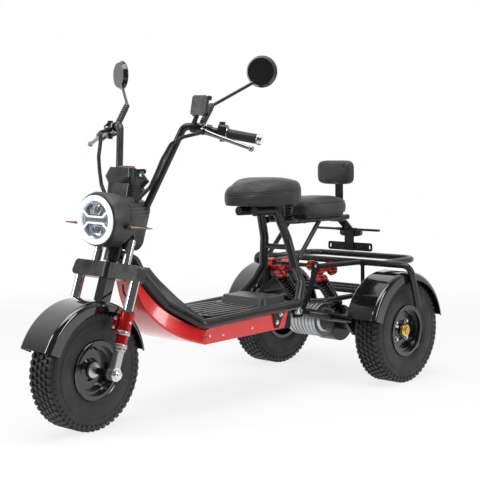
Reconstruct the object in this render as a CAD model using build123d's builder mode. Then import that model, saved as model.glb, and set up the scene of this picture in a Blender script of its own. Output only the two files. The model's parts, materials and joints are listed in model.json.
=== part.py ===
"""Electric tricycle: a step-through frame on three small fat tyres, one steered wheel in front.

Millimetres. +X is the rider's left, +Y the rear, +Z up; the ground is z = 0.
Lengths along the vehicle are stations behind the front axle, and heights at the rear start from its axle.
The fork group is drawn pointing straight ahead and then turned to its parked angle.
"""
from build123d import *
from math import asin, cos, radians, sin
import os

os.makedirs("parts", exist_ok=True)

# ---------------------------------------------------------------- driving dimensions
WHEELBASE = 1120
FRONT_AXLE_Y = -555
REAR_TRACK = 564
WHEEL_R = 177.5

TYRE_W = 100
TREAD_W = 92
TREAD_DEPTH = 7
LUG_COUNT = 24
LUG_PITCH = 22
LUG_W = 16
LUG_LEN = 22
RIM_FLANGE_R = 86
RIM_SEAT_R = 78
RIM_W = 94
RIM_WALL = 4
HUB_R = 24
HUB_DISC_INSET = 30
AXLE_R = 10

RAKE = 19
PARKED_TURN = 5.4
LEG_SPAN = 226
STANCHION_R = 15
SLIDER_R = 18
SLIDER_TOP = 176
SLIDER_LOW = 66
CROWN_LOW = 268
CROWN_H = 46
CROWN_DEPTH = 40
STEM_R = 14
HEAD_TUBE_R = 24
HEAD_TUBE_LEN = 62
HEAD_GAP = 6
POST_X = 62
POST_R = 13
YOKE_H = 14

FENDER_CLEAR = 25.5
FENDER_WALL = 3
FENDER_LEAD = 12
FENDER_DEPTH = 62
FENDER_SHOULDER = 14
FENDER_ARCH_DROP = 5.5
FENDER_ARCH_BACK = 6
FENDER_W = 124

LAMP_R = 71
LAMP_STATION = 39
LAMP_RISE = 429.5
HALO_W = 15
LENS_H = 5
NACELLE_MOUTH_R = 78
NACELLE_R = 84
NACELLE_WALL = 4
NACELLE_RIBS = 5
POD_FOOT_W = 100
POD_BRIM_W = 124
POD_CREST_W = 100

BAR_R = 11
GRIP_R = 15
RISER_FOOT = (30, 32, 405.6)
BAR_TOP_X = 132
BAR_END = (329, 384.7, 661.7)
GRIP_LEN = 98
LEVER_BALL = (332, 340, 636.5)
LOOM_R = 6

RAIL_R = 15
RAIL_RISE = 12
DECK_HALF_W = 136
DECK_RISE = 104.5
DECK_FRONT = 350
DECK_REAR = WHEELBASE - 348
RAIL_REAR = WHEELBASE - 375
NECK_HALF_W = 50
SKIRT_H = 46
TUB_DEPTH = 42
TUB_WALL = 3

SEAT_RISE = 439.5
SEAT_FRONT = WHEELBASE - 530
SEAT_REAR = WHEELBASE - 270
SEAT_H = 84
SEAT_W = 256
SEAT_TUBE_TOP_X = 36
SEAT_DROP = 43
REAR_SEAT_H = 56
REAR_SEAT_W = 200
REAR_SEAT_FRONT = WHEELBASE - 248
REAR_SEAT_REAR = WHEELBASE - 8
BACKREST_STATION = WHEELBASE + 16
BACKREST_RISE = 93
BACKREST_H = 90

RACK_RISE = 225.5
RACK_REAR = WHEELBASE + 180
RACK_TUBE_R = 11
RACK_W = 486
SHELF_DROP = 103
PIVOT_STATION = WHEELBASE - 308
PIVOT_RISE = 83.5
SHOCK_TOP_STATION = WHEELBASE - 216
SHOCK_X = 90
ARM_X = 118
AXLE_TUBE_R = 24
PLATE_BOLTS = 140
PLATE_BOLT_R = 3.5

SOFT_GAP = 0.3
RUNNING_FIT = 0.05

# ---------------------------------------------------------------- places worked out from them
RAKE_SIN = sin(radians(RAKE))
RAKE_COS = cos(radians(RAKE))
PARKED_LEAN = asin(sin(radians(PARKED_TURN)) * RAKE_SIN)
LUG_EDGE_X = 1.5 * LUG_PITCH + LUG_W / 2
FRONT_AXLE_Z = WHEEL_R * cos(PARKED_LEAN) + LUG_EDGE_X * sin(PARKED_LEAN)
STEERING = Plane(origin=(0, FRONT_AXLE_Y, FRONT_AXLE_Z), x_dir=(1, 0, 0), z_dir=(0, RAKE_SIN, RAKE_COS))
STEERING_AXIS = Axis((0, FRONT_AXLE_Y, FRONT_AXLE_Z), (0, RAKE_SIN, RAKE_COS))
REAR_AXLE_Y = FRONT_AXLE_Y + WHEELBASE
REAR_WHEEL_X = REAR_TRACK / 2
LEG_X = LEG_SPAN / 2
CROWN_TOP = CROWN_LOW + CROWN_H
STANCHION_TOP = CROWN_LOW + 24
HEAD_LOW = CROWN_TOP + HEAD_GAP
HEAD_TOP = HEAD_LOW + HEAD_TUBE_LEN
YOKE_LOW = HEAD_TOP + HEAD_GAP
FENDER_R = WHEEL_R + FENDER_CLEAR
FENDER_ARCH_R = WHEEL_R - FENDER_ARCH_DROP
DECK_Z = WHEEL_R + DECK_RISE
SEAT_BASE_Z = WHEEL_R + SEAT_RISE
SEAT_PLATE_Z = SEAT_BASE_Z - 5 - SOFT_GAP
REAR_SEAT_Z = SEAT_BASE_Z - SEAT_DROP
BACKREST_LOW = REAR_SEAT_Z + BACKREST_RISE
RACK_Z = WHEEL_R + RACK_RISE
SHELF_Z = RACK_Z - SHELF_DROP
PIVOT_Z = WHEEL_R + PIVOT_RISE
SHOCK_TOP_Z = RACK_Z + 1
RAIL_REAR_Z = DECK_Z - 4 + RAIL_RISE


def at(station):
    """Y of a place that lies so far behind the front axle."""
    return FRONT_AXLE_Y + station


def behind(distance):
    """Y of a place that lies so far behind the rear axle."""
    return REAR_AXLE_Y + distance


def up(rise):
    """Height of a place that lies so far above the rear axle."""
    return WHEEL_R + rise


def on_fork(x, back, along):
    """Point given across the fork, behind the steering axis and up along it."""
    return (x, at(back * RAKE_COS + along * RAKE_SIN), FRONT_AXLE_Z - back * RAKE_SIN + along * RAKE_COS)


FORK_FRONT = Plane(origin=on_fork(0, 0, 0), x_dir=(1, 0, 0), z_dir=(0, -RAKE_COS, RAKE_SIN))


def bent_tube(points, radius, bend):
    """Round tube along straight runs joined by bends of one radius."""
    with BuildLine() as route:
        FilletPolyline(*points, radius=bend)
    with BuildSketch(Plane(origin=route.line @ 0, z_dir=route.line % 0)) as section:
        Circle(radius)
    sweep(section.sketch, path=route.line)


def straight_tube(start, end, radius, mode=Mode.ADD):
    """Round bar between two points, added or cut away."""
    run = Vector(*end) - Vector(*start)
    with BuildSketch(Plane(origin=start, z_dir=run)) as section:
        Circle(radius)
    extrude(section.sketch, amount=run.length, mode=mode)


def coil(foot, top, radius, wire, pitch):
    """Spring of round wire wound about the line from foot to top."""
    run = Vector(*top) - Vector(*foot)
    with BuildLine() as winding:
        Helix(pitch=pitch, height=run.length, radius=radius, center=foot, direction=run)
    with BuildSketch(Plane(origin=winding.line @ 0, z_dir=winding.line % 0)) as section:
        Circle(wire)
    sweep(section.sketch, path=winding.line, is_frenet=True)


def across(x, station, z):
    """Plane whose normal points to the rider's left, for what turns about an axle."""
    return Plane(origin=(x, at(station), z), x_dir=(0, 1, 0), z_dir=(1, 0, 0))


def turned(piece):
    """Turn a piece of the fork group from straight ahead to its parked angle."""
    piece.part = piece.part.rotate(STEERING_AXIS, PARKED_TURN)


def finish(piece, node):
    piece.part.label = node


# ---------------------------------------------------------------- wheels
def tyre_ring(x, y, z):
    """Rounded carcass turned about the axle, with four staggered rows of tread lugs standing on it."""
    half = TYRE_W / 2
    shoulder = TREAD_W / 2
    carcass_r = WHEEL_R - TREAD_DEPTH
    seat = RIM_W / 2 - RIM_WALL
    belly_r = (RIM_FLANGE_R + WHEEL_R) / 2
    with BuildSketch(Plane(origin=(x, y, z), x_dir=(1, 0, 0), z_dir=(0, -1, 0))) as profile:
        with BuildLine():
            Line((0, carcass_r), (shoulder - 6, carcass_r))
            ThreePointArc((shoulder - 6, carcass_r), (shoulder, carcass_r - 4), (shoulder + 1, carcass_r - 12))
            ThreePointArc((shoulder + 1, carcass_r - 12), (half, belly_r), (seat, RIM_FLANGE_R))
            Line((seat, RIM_FLANGE_R), (seat, RIM_SEAT_R))
            Line((seat, RIM_SEAT_R), (0, RIM_SEAT_R))
            Line((0, RIM_SEAT_R), (0, carcass_r))
        make_face()
        mirror(about=Plane.YZ)
    revolve(profile.sketch, axis=Axis((x, y, z), (1, 0, 0)))
    places = [
        Location((x, y, z), ((step + row / 2) * 360 / LUG_COUNT, 0, 0)) * Location(((row - 1.5) * LUG_PITCH, 0, WHEEL_R - TREAD_DEPTH))
        for row in range(4)
        for step in range(LUG_COUNT)
    ]
    with Locations(*places):
        Box(LUG_W, LUG_LEN, 2 * TREAD_DEPTH)


def rim_shell(x, y, z, out):
    """Stepped deep-dish rim with its disc set in from the outer face; out is +1 or -1."""
    w = RIM_W / 2
    disc = w - HUB_DISC_INSET
    bore = AXLE_R + RUNNING_FIT
    with BuildSketch(Plane(origin=(x, y, z), x_dir=(out, 0, 0), z_dir=(0, -out, 0))) as profile:
        with BuildLine():
            Polyline(
                (-w, RIM_FLANGE_R), (-w + RIM_WALL - 0.5, RIM_FLANGE_R), (-w + RIM_WALL - 0.5, RIM_SEAT_R - SOFT_GAP),
                (w - RIM_WALL + 0.5, RIM_SEAT_R - SOFT_GAP), (w - RIM_WALL + 0.5, RIM_FLANGE_R), (w, RIM_FLANGE_R),
                (w, RIM_SEAT_R - RIM_WALL), (w - 14, RIM_SEAT_R - RIM_WALL - 3), (w - 14, RIM_SEAT_R - 16),
                (disc, RIM_SEAT_R - 20), (disc, HUB_R + 10), (disc + 6, HUB_R), (disc + 14, HUB_R),
                (disc + 14, bore), (-w + 8, bore), (-w + 8, HUB_R), (disc - 12, HUB_R), (disc - 8, HUB_R + 10),
                (disc - 8, RIM_SEAT_R - 24), (disc - 8, RIM_SEAT_R - RIM_WALL - 6), (-w, RIM_SEAT_R - RIM_WALL),
                close=True,
            )
        make_face()
    revolve(profile.sketch, axis=Axis((x, y, z), (1, 0, 0)))


with BuildPart() as front_tyre:
    tyre_ring(0, FRONT_AXLE_Y, FRONT_AXLE_Z)
turned(front_tyre)
finish(front_tyre, "front_tyre")
export_step(front_tyre.part, "parts/front_tyre.step")

with BuildPart() as front_rim:
    rim_shell(0, FRONT_AXLE_Y, FRONT_AXLE_Z, 1)
turned(front_rim)
finish(front_rim, "front_rim")
export_step(front_rim.part, "parts/front_rim.step")

for side, sign in (("left", 1), ("right", -1)):
    with BuildPart() as rear_tyre:
        tyre_ring(sign * REAR_WHEEL_X, REAR_AXLE_Y, WHEEL_R)
    finish(rear_tyre, f"rear_tyre_{side}")
    export_step(rear_tyre.part, f"parts/rear_tyre_{side}.step")

    with BuildPart() as rear_rim:
        rim_shell(sign * REAR_WHEEL_X, REAR_AXLE_Y, WHEEL_R, sign)
    finish(rear_rim, f"rear_rim_{side}")
    export_step(rear_rim.part, f"parts/rear_rim_{side}.step")

# ---------------------------------------------------------------- fork
with BuildPart() as front_axle:
    with BuildSketch(across(-LEG_X - 12, 0, FRONT_AXLE_Z)):
        Circle(AXLE_R)
    extrude(amount=LEG_SPAN + 24)
turned(front_axle)
finish(front_axle, "front_axle")
export_step(front_axle.part, "parts/front_axle.step")


def yoke_outline(spare):
    """Slot across the posts with a rounded tongue behind it for the handlebar risers."""
    SlotCenterToCenter(2 * POST_X, 2 * POST_R + 4 + spare)
    with Locations((0, 14)):
        RectangleRounded(88 + spare, 66 + spare, 14)


with BuildPart() as fork_crown:
    with BuildSketch(FORK_FRONT) as tapered_block:
        with BuildLine():
            low_x, top_x = LEG_X + 22, LEG_X + 12
            Polyline((-low_x, CROWN_LOW), (low_x, CROWN_LOW), (top_x, CROWN_TOP), (-top_x, CROWN_TOP), close=True)
        make_face()
        fillet(tapered_block.vertices().group_by(Axis.Z)[-1], 13)
    extrude(amount=CROWN_DEPTH / 2, both=True)
    with BuildSketch(STEERING.offset(CROWN_LOW)):
        Circle(27)
    extrude(amount=CROWN_H)
    with BuildSketch(STEERING.offset(CROWN_LOW - 8)):
        with Locations((-LEG_X, 0), (LEG_X, 0)):
            Circle(STANCHION_R)
    extrude(amount=STANCHION_TOP - CROWN_LOW + 8, mode=Mode.SUBTRACT)
    with BuildSketch(STEERING.offset(CROWN_TOP)):
        Circle(STEM_R)
    extrude(amount=YOKE_LOW - CROWN_TOP)
    with BuildSketch(STEERING.offset(YOKE_LOW)):
        yoke_outline(0)
    extrude(amount=YOKE_H)
turned(fork_crown)
finish(fork_crown, "fork_crown")
export_step(fork_crown.part, "parts/fork_crown.step")

with BuildPart() as stanchions:
    with BuildSketch(STEERING.offset(SLIDER_TOP - 60)):
        with Locations((-LEG_X, 0), (LEG_X, 0)):
            Circle(STANCHION_R)
    extrude(amount=STANCHION_TOP - SLIDER_TOP + 60)
    with BuildSketch(STEERING.offset(CROWN_TOP)):
        with Locations((-POST_X, 0), (POST_X, 0)):
            Circle(POST_R)
    extrude(amount=YOKE_LOW - CROWN_TOP)
turned(stanchions)
finish(stanchions, "stanchions")
export_step(stanchions.part, "parts/stanchions.step")

SLIDER_BANDS = ((158, 18, 2), (126, 32, 0), (112, 14, 1.5), (88, 24, -1), (74, 14, 1.5), (SLIDER_LOW, 8, -1))

with BuildPart() as fork_sliders:
    for low, height, swell in SLIDER_BANDS:
        with BuildSketch(STEERING.offset(low)):
            with Locations((-LEG_X, 0), (LEG_X, 0)):
                Circle(SLIDER_R + swell)
        extrude(amount=height)
    with BuildSketch(STEERING.offset(SLIDER_TOP - 60)):
        with Locations((-LEG_X, 0), (LEG_X, 0)):
            Circle(STANCHION_R)
    extrude(amount=60, mode=Mode.SUBTRACT)
turned(fork_sliders)
finish(fork_sliders, "fork_sliders")
export_step(fork_sliders.part, "parts/fork_sliders.step")

FOOT_W = 22
with BuildPart() as fork_feet:
    for sign in (-1, 1):
        with BuildSketch(across(sign * LEG_X - FOOT_W / 2, 0, FRONT_AXLE_Z)):
            Circle(19)
        extrude(amount=FOOT_W)
    with BuildSketch(STEERING):
        with Locations((-LEG_X, 0), (LEG_X, 0)):
            RectangleRounded(FOOT_W, 28, 6)
    extrude(amount=SLIDER_LOW)
    with BuildSketch(across(-LEG_X - FOOT_W, 0, FRONT_AXLE_Z)):
        Circle(AXLE_R)
    extrude(amount=LEG_SPAN + 2 * FOOT_W, mode=Mode.SUBTRACT)
turned(fork_feet)
finish(fork_feet, "fork_feet")
export_step(fork_feet.part, "parts/fork_feet.step")


def fender_shell(x, y, z, front_lift, rear_lift):
    """Rounded channel swept round the tyre, its side skirts ending in an offset arch."""
    hub = (x, y - FENDER_LEAD, z)
    start = Plane(origin=hub, x_dir=(1, 0, 0), z_dir=(0, -sin(radians(rear_lift)), cos(radians(rear_lift))))
    with BuildSketch(start) as channel:
        with Locations((0, FENDER_R - FENDER_DEPTH / 2)):
            RectangleRounded(FENDER_W, FENDER_DEPTH, FENDER_SHOULDER)
        with Locations((0, FENDER_R - FENDER_DEPTH / 2 - FENDER_WALL)):
            RectangleRounded(FENDER_W - 2 * FENDER_WALL, FENDER_DEPTH, FENDER_SHOULDER - FENDER_WALL, mode=Mode.SUBTRACT)
        with Locations((0, FENDER_R - FENDER_DEPTH - FENDER_DEPTH / 2 + FENDER_SHOULDER)):
            Rectangle(FENDER_W + 2, FENDER_DEPTH, mode=Mode.SUBTRACT)
    revolve(channel.sketch, axis=Axis(hub, (1, 0, 0)), revolution_arc=180 - front_lift - rear_lift)
    arch_centre = (x - FENDER_W, y + FENDER_ARCH_BACK, z)
    with BuildSketch(Plane(origin=arch_centre, x_dir=(0, 1, 0), z_dir=(1, 0, 0))) as arch:
        Circle(FENDER_ARCH_R)
    extrude(arch.sketch, amount=2 * FENDER_W, mode=Mode.SUBTRACT)


with BuildPart() as front_fender:
    fender_shell(0, FRONT_AXLE_Y, FRONT_AXLE_Z, 24, 10)
    with BuildSketch(STEERING.offset(FENDER_R - 8)):
        Rectangle(34, 34)
    extrude(amount=CROWN_LOW - FENDER_R + 8)
turned(front_fender)
finish(front_fender, "front_fender")
export_step(front_fender.part, "parts/front_fender.step")

with BuildPart() as brake_caliper:
    with BuildSketch(STEERING.offset(120)):
        with Locations((LEG_X - SLIDER_R - 9.6, 6)):
            RectangleRounded(15, 44, 5)
    extrude(amount=46)
turned(brake_caliper)
finish(brake_caliper, "brake_caliper")
export_step(brake_caliper.part, "parts/brake_caliper.step")

# ---------------------------------------------------------------- nacelle and headlamp
LAMP_FACE = Plane(origin=(0, at(LAMP_STATION), up(LAMP_RISE)), x_dir=(1, 0, 0), z_dir=(0, -1, 0))
NACELLE_BACK = Plane(origin=(0, at(196), up(402.5)), x_dir=(1, 0, 0), z_dir=(0, -0.953, 0.303))
NACELLE_TOP = Plane(origin=(0, at(117), up(497)), x_dir=(1, 0, 0), z_dir=(0, 0.21, 1))
LENS_R = LAMP_R - HALO_W - SOFT_GAP
MOUTH_BACK = 8


def nacelle_body(inset):
    """Round at the lamp, swelling a little, then a rounded oblong at the slanted back."""
    with BuildSketch(LAMP_FACE.offset(-MOUTH_BACK - inset)) as mouth:
        Circle(NACELLE_MOUTH_R - inset)
    with BuildSketch(LAMP_FACE.offset(-60)) as swell:
        Ellipse(NACELLE_R - inset, NACELLE_R + 2 - inset)
    with BuildSketch(NACELLE_BACK.offset(inset)) as back:
        RectangleRounded(112 - 2 * inset, 150 - 2 * inset, 31 - inset)
    return [mouth.sketch, swell.sketch, back.sketch]


def riser_run(sign):
    """Foot and top of a handlebar riser."""
    return on_fork(sign * RISER_FOOT[0], *RISER_FOOT[1:]), (sign * BAR_TOP_X, at(276), up(700.5))


def loom_route(sign):
    """From inside the nacelle's shoulder, bowing out ahead of the riser, to the lever perch."""
    points = (
        (58, 146, 478), (100, 163, 522), (117, 172, 563), (131, 182, 604),
        (145, 204, 648), (170, 228, 668), (196, 252.5, 676.9), (196, 281.7, 682.45),
    )
    return [(sign * x, at(station), up(rise)) for x, station, rise in points]


with BuildPart() as shoulder_ribs:
    for rib in range(NACELLE_RIBS):
        with BuildSketch(across(-NACELLE_R - 10, 150, up(430 + 10 * rib))) as bar:
            RectangleRounded(96, 4.5, 2)
        extrude(bar.sketch, amount=2 * NACELLE_R + 20)
    loft(nacelle_body(-2.5), mode=Mode.INTERSECT)

with BuildPart() as nacelle_room:
    loft(nacelle_body(NACELLE_WALL))
    with BuildSketch(NACELLE_TOP.offset(-NACELLE_WALL)) as ceiling:
        Rectangle(300, 400)
    extrude(ceiling.sketch, amount=60, mode=Mode.SUBTRACT)

with BuildPart() as nacelle:
    loft(nacelle_body(0))
    add(shoulder_ribs.part)
    with BuildSketch(NACELLE_TOP) as flat_top:
        Rectangle(300, 400)
    extrude(flat_top.sketch, amount=60, mode=Mode.SUBTRACT)
    add(nacelle_room.part, mode=Mode.SUBTRACT)
    with BuildSketch(LAMP_FACE.offset(-MOUTH_BACK - 2 * NACELLE_WALL)) as open_front:
        Circle(LENS_R + 1.5)
    extrude(open_front.sketch, amount=3 * NACELLE_WALL, mode=Mode.SUBTRACT)
    with BuildSketch(STEERING.offset(CROWN_TOP)) as throat:
        Circle(HEAD_TUBE_R + 8)
        SlotCenterToCenter(2 * POST_X, 2 * POST_R + 8)
    extrude(throat.sketch, amount=YOKE_LOW - CROWN_TOP, mode=Mode.SUBTRACT)
    with BuildSketch(STEERING.offset(YOKE_LOW - SOFT_GAP)) as yoke_room:
        yoke_outline(1)
    extrude(yoke_room.sketch, amount=YOKE_H + 1, mode=Mode.SUBTRACT)
    for sign in (-1, 1):
        foot, top = riser_run(sign)
        straight_tube(foot, top, BAR_R + 0.5, Mode.SUBTRACT)
        start, second = loom_route(sign)[:2]
        straight_tube(start, second, LOOM_R + SOFT_GAP, Mode.SUBTRACT)
turned(nacelle)
finish(nacelle, "nacelle")
export_step(nacelle.part, "parts/nacelle.step")

with BuildPart() as halo_ring:
    with BuildSketch(LAMP_FACE.offset(SOFT_GAP - MOUTH_BACK)) as ring:
        Circle(LAMP_R)
        Circle(LAMP_R - HALO_W, mode=Mode.SUBTRACT)
    extrude(ring.sketch, amount=10)
    with BuildSketch(LAMP_FACE.offset(LENS_H + 2 * SOFT_GAP - MOUTH_BACK)) as strips:
        with BuildLine():
            Polyline((-53, 28), (-30, 9), (30, 9), (53, 28))
            offset(amount=2.5)
        make_face()
        mirror(about=Plane.XZ)
    extrude(strips.sketch, amount=3.4)
turned(halo_ring)
finish(halo_ring, "halo_ring")
export_step(halo_ring.part, "parts/halo_ring.step")

with BuildPart() as headlamp_lens:
    with BuildSketch(LAMP_FACE.offset(SOFT_GAP - MOUTH_BACK)):
        Circle(LENS_R)
    extrude(amount=LENS_H)
turned(headlamp_lens)
finish(headlamp_lens, "headlamp_lens")
export_step(headlamp_lens.part, "parts/headlamp_lens.step")

BOWL_DEPTH = 16
with BuildPart() as headlamp_bowls:
    with BuildSketch(LAMP_FACE.offset(-MOUTH_BACK - BOWL_DEPTH - 4)):
        Circle(LENS_R + 1.5 - SOFT_GAP)
    extrude(amount=BOWL_DEPTH + 4)
    with BuildSketch(LAMP_FACE.offset(-MOUTH_BACK)) as bowls:
        Circle(LENS_R - 4)
        Rectangle(2 * LENS_R, 22, mode=Mode.SUBTRACT)
    extrude(bowls.sketch, amount=-BOWL_DEPTH, taper=12, mode=Mode.SUBTRACT)
    with BuildSketch(LAMP_FACE.offset(-MOUTH_BACK - BOWL_DEPTH)) as projectors:
        with Locations((0, 29), (0, -29)):
            Circle(14)
    extrude(projectors.sketch, amount=BOWL_DEPTH - 4, taper=20)
turned(headlamp_bowls)
finish(headlamp_bowls, "headlamp_bowls")
export_step(headlamp_bowls.part, "parts/headlamp_bowls.step")

with BuildPart() as front_signals:
    for sign in (-1, 1):
        with BuildSketch(Plane(origin=(sign * (NACELLE_R - 0.7), at(90), up(411.5)), x_dir=(0, 1, 0), z_dir=(sign, 0, 0))):
            RectangleRounded(26, 12, 5)
        extrude(amount=88, taper=3)
turned(front_signals)
finish(front_signals, "front_signals")
export_step(front_signals.part, "parts/front_signals.step")

with BuildPart() as display_pod:
    with BuildSketch(NACELLE_TOP.offset(SOFT_GAP)) as foot:
        with Locations((0, 43)):
            RectangleRounded(POD_FOOT_W, 62, 14)
    with BuildSketch(NACELLE_TOP.offset(38)) as waist:
        with Locations((0, 43)):
            RectangleRounded(POD_FOOT_W + 4, 64, 14)
    with BuildSketch(NACELLE_TOP.offset(56)) as brim:
        with Locations((0, 44.5)):
            RectangleRounded(POD_BRIM_W, 86, 20)
    with BuildSketch(NACELLE_TOP.offset(84)) as crest:
        with Locations((0, 31.5)):
            RectangleRounded(POD_CREST_W, 50, 16)
    loft([foot.sketch, waist.sketch, brim.sketch, crest.sketch], ruled=True)
turned(display_pod)
finish(display_pod, "display_pod")
export_step(display_pod.part, "parts/display_pod.step")

# ---------------------------------------------------------------- handlebar and what it carries
BAR_START = Vector(BAR_TOP_X, at(276), up(700.5))
BAR_STOP = Vector(BAR_END[0], at(BAR_END[1]), up(BAR_END[2]))
BAR_DIR = (BAR_STOP - BAR_START).normalized()
BAR_LEN = (BAR_STOP - BAR_START).length
BACKWARD = Vector(-BAR_DIR.Y, BAR_DIR.X, 0).normalized()


def on_bar(distance):
    """Point on the left handlebar so far from the top of its riser."""
    return BAR_START + BAR_DIR * distance


def bar_plane(distance):
    """Plane square to the left handlebar: its x runs backwards and its y upwards."""
    return Plane(origin=on_bar(distance), x_dir=BACKWARD, z_dir=BAR_DIR)


with BuildPart() as handlebar:
    for sign in (-1, 1):
        foot, top = riser_run(sign)
        bent_tube((foot, top, (sign * BAR_STOP.X, BAR_STOP.Y, BAR_STOP.Z)), BAR_R, 22)
turned(handlebar)
finish(handlebar, "handlebar")
export_step(handlebar.part, "parts/handlebar.step")

with BuildPart() as grips:
    with BuildSketch(bar_plane(BAR_LEN - GRIP_LEN)):
        Circle(GRIP_R)
        Circle(BAR_R, mode=Mode.SUBTRACT)
    extrude(amount=GRIP_LEN)
    with BuildSketch(bar_plane(BAR_LEN)):
        Circle(GRIP_R + 1.5)
    extrude(amount=6)
    mirror(about=Plane.YZ)
turned(grips)
finish(grips, "grips")
export_step(grips.part, "parts/grips.step")

PERCH_AT = 74
SWITCH_AT = BAR_LEN - GRIP_LEN - 28
LEVER_PIVOT = Vector(196, at(282), up(682.5))

with BuildPart() as hand_controls:
    with BuildSketch(bar_plane(SWITCH_AT)) as switch_box:
        with Locations((2, 3)):
            RectangleRounded(38, 42, 10)
    extrude(switch_box.sketch, amount=26)
    knob_foot = on_bar(SWITCH_AT + 13)
    straight_tube(knob_foot + Vector(0, 0, 20), knob_foot + Vector(0, 0, 32), 9)
    straight_tube(knob_foot + Vector(0, 0, -14), knob_foot + Vector(0, 0, -26), 8)
    with BuildSketch(bar_plane(PERCH_AT - 8)) as perch:
        Circle(BAR_R + 5)
    extrude(perch.sketch, amount=16)
    straight_tube(on_bar(PERCH_AT), LEVER_PIVOT, 9)
    lever_root = LEVER_PIVOT + Vector(0, 8, 1.5)
    lever_ball = Vector(LEVER_BALL[0], at(LEVER_BALL[1]), up(LEVER_BALL[2]))
    straight_tube(lever_root, lever_ball, 5)
    with Locations(lever_ball):
        Sphere(8)
    straight_tube(on_bar(PERCH_AT - 20), on_bar(SWITCH_AT + 27), BAR_R, Mode.SUBTRACT)
    mirror(about=Plane.YZ)
turned(hand_controls)
finish(hand_controls, "hand_controls")
export_step(hand_controls.part, "parts/hand_controls.step")

MIRROR_AT = 47
BOOT_TOP = Vector(175, at(350), up(762.5))
GLASS_TURN = 21
GLASS_FACE = Plane(
    origin=(289, at(443), up(860.5)), x_dir=(cos(radians(GLASS_TURN)), sin(radians(GLASS_TURN)), 0),
    z_dir=(sin(radians(GLASS_TURN)), -cos(radians(GLASS_TURN)), 0),
)

with BuildPart() as mirrors:
    with BuildSketch(bar_plane(MIRROR_AT - 7)) as clamp:
        Circle(BAR_R + 5)
    extrude(clamp.sketch, amount=14)
    boot_foot = on_bar(MIRROR_AT) + Vector(0, 8, 10)
    straight_tube(boot_foot, BOOT_TOP, 9)
    straight_tube(BOOT_TOP - Vector(2, 0, 4), (272, at(424), up(828.5)), 5)
    with BuildSketch(GLASS_FACE) as shell_rim:
        Circle(47)
    extrude(shell_rim.sketch, amount=14, taper=25)
    straight_tube(on_bar(MIRROR_AT - 20), on_bar(MIRROR_AT + 20), BAR_R, Mode.SUBTRACT)
    mirror(about=Plane.YZ)
turned(mirrors)
finish(mirrors, "mirrors")
export_step(mirrors.part, "parts/mirrors.step")

PHONE_AT = 29
PHONE_FACE = Plane(origin=(190, at(272), up(760.5)), x_dir=(1, 0, 0), z_dir=(0, 1, -0.2))

with BuildPart() as phone_holder:
    with BuildSketch(PHONE_FACE):
        RectangleRounded(56, 58, 8)
    extrude(amount=12)
    with BuildSketch(PHONE_FACE.offset(12)):
        with Locations((-25, 24), (25, 24), (-25, -24), (25, -24)):
            RectangleRounded(9, 13, 3)
    extrude(amount=9)
    with BuildSketch(bar_plane(PHONE_AT - 8)) as clamp:
        Circle(BAR_R + 5)
    extrude(clamp.sketch, amount=16)
    straight_tube(on_bar(PHONE_AT) + Vector(0, -2, 8), (188, at(277), up(748)), 7)
    straight_tube(on_bar(PHONE_AT - 20), on_bar(PHONE_AT + 20), BAR_R, Mode.SUBTRACT)
turned(phone_holder)
finish(phone_holder, "phone_holder")
export_step(phone_holder.part, "parts/phone_holder.step")

# ---------------------------------------------------------------- cables on the handlebar
with BuildPart() as cable_looms:
    for sign in (-1, 1):
        bent_tube(loom_route(sign), LOOM_R, 14)
turned(cable_looms)
finish(cable_looms, "cable_looms")
export_step(cable_looms.part, "parts/cable_looms.step")

# ---------------------------------------------------------------- frame
HEAD_JOIN = HEAD_LOW + 25
with BuildPart() as main_frame:
    with BuildSketch(STEERING.offset(HEAD_LOW)):
        Circle(HEAD_TUBE_R)
    extrude(amount=HEAD_TUBE_LEN)
    for sign in (-1, 1):
        bent_tube(
            (on_fork(sign * 8, 16, HEAD_JOIN), on_fork(sign * 28, 62, HEAD_JOIN - 4), (sign * NECK_HALF_W, at(180), DECK_Z + 150),
             (sign * (NECK_HALF_W + 14), at(262), DECK_Z + 58), (sign * (DECK_HALF_W - 4), at(DECK_FRONT - 5), DECK_Z - 4),
             (sign * DECK_HALF_W, at(DECK_FRONT + 30), DECK_Z - 4), (sign * DECK_HALF_W, at(RAIL_REAR), RAIL_REAR_Z)),
            RAIL_R, 16,
        )
        with BuildSketch(Plane.YZ.offset(sign * DECK_HALF_W - 2)) as gusset:
            with BuildLine():
                low_z, high_z = DECK_Z - 58, DECK_Z - 6
                Polyline(
                    (behind(-465), high_z), (behind(-412), high_z), (behind(-440), low_z), (behind(-455), low_z), close=True,
                )
            make_face()
            fillet(gusset.vertices(), 4)
        extrude(gusset.sketch, amount=4)
    rung_half = DECK_HALF_W - 8
    straight_tube((-rung_half, at(DECK_FRONT + 14), DECK_Z - 22), (rung_half, at(DECK_FRONT + 14), DECK_Z - 22), 8)
    with BuildSketch(STEERING.offset(HEAD_LOW - 5)) as bore:
        Circle(STEM_R + RUNNING_FIT)
    extrude(bore.sketch, amount=HEAD_TUBE_LEN + 10, mode=Mode.SUBTRACT)
finish(main_frame, "main_frame")
export_step(main_frame.part, "parts/main_frame.step")

NECK_DIR = (0, 0.663, -0.748)
INNER_W = 2 * (DECK_HALF_W - RAIL_R - 5.5)

with BuildPart() as neck_cover:
    for origin, normal, width, depth, rise in (
        ((0, at(194), DECK_Z + 138), NECK_DIR, 2 * (NECK_HALF_W - RAIL_R - 3), 58, 20),
        ((0, at(258), DECK_Z + 63), NECK_DIR, 2 * (NECK_HALF_W - RAIL_R + 6), 60, 24),
        ((0, at(DECK_FRONT + 18), DECK_Z + 2), (0, 1, 0), INNER_W, 24, 0),
    ):
        with BuildSketch(Plane(origin=origin, x_dir=(1, 0, 0), z_dir=normal)):
            with Locations((0, -rise)):
                RectangleRounded(width, depth, 10)
    loft()
finish(neck_cover, "neck_cover")
export_step(neck_cover.part, "parts/neck_cover.step")

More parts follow.
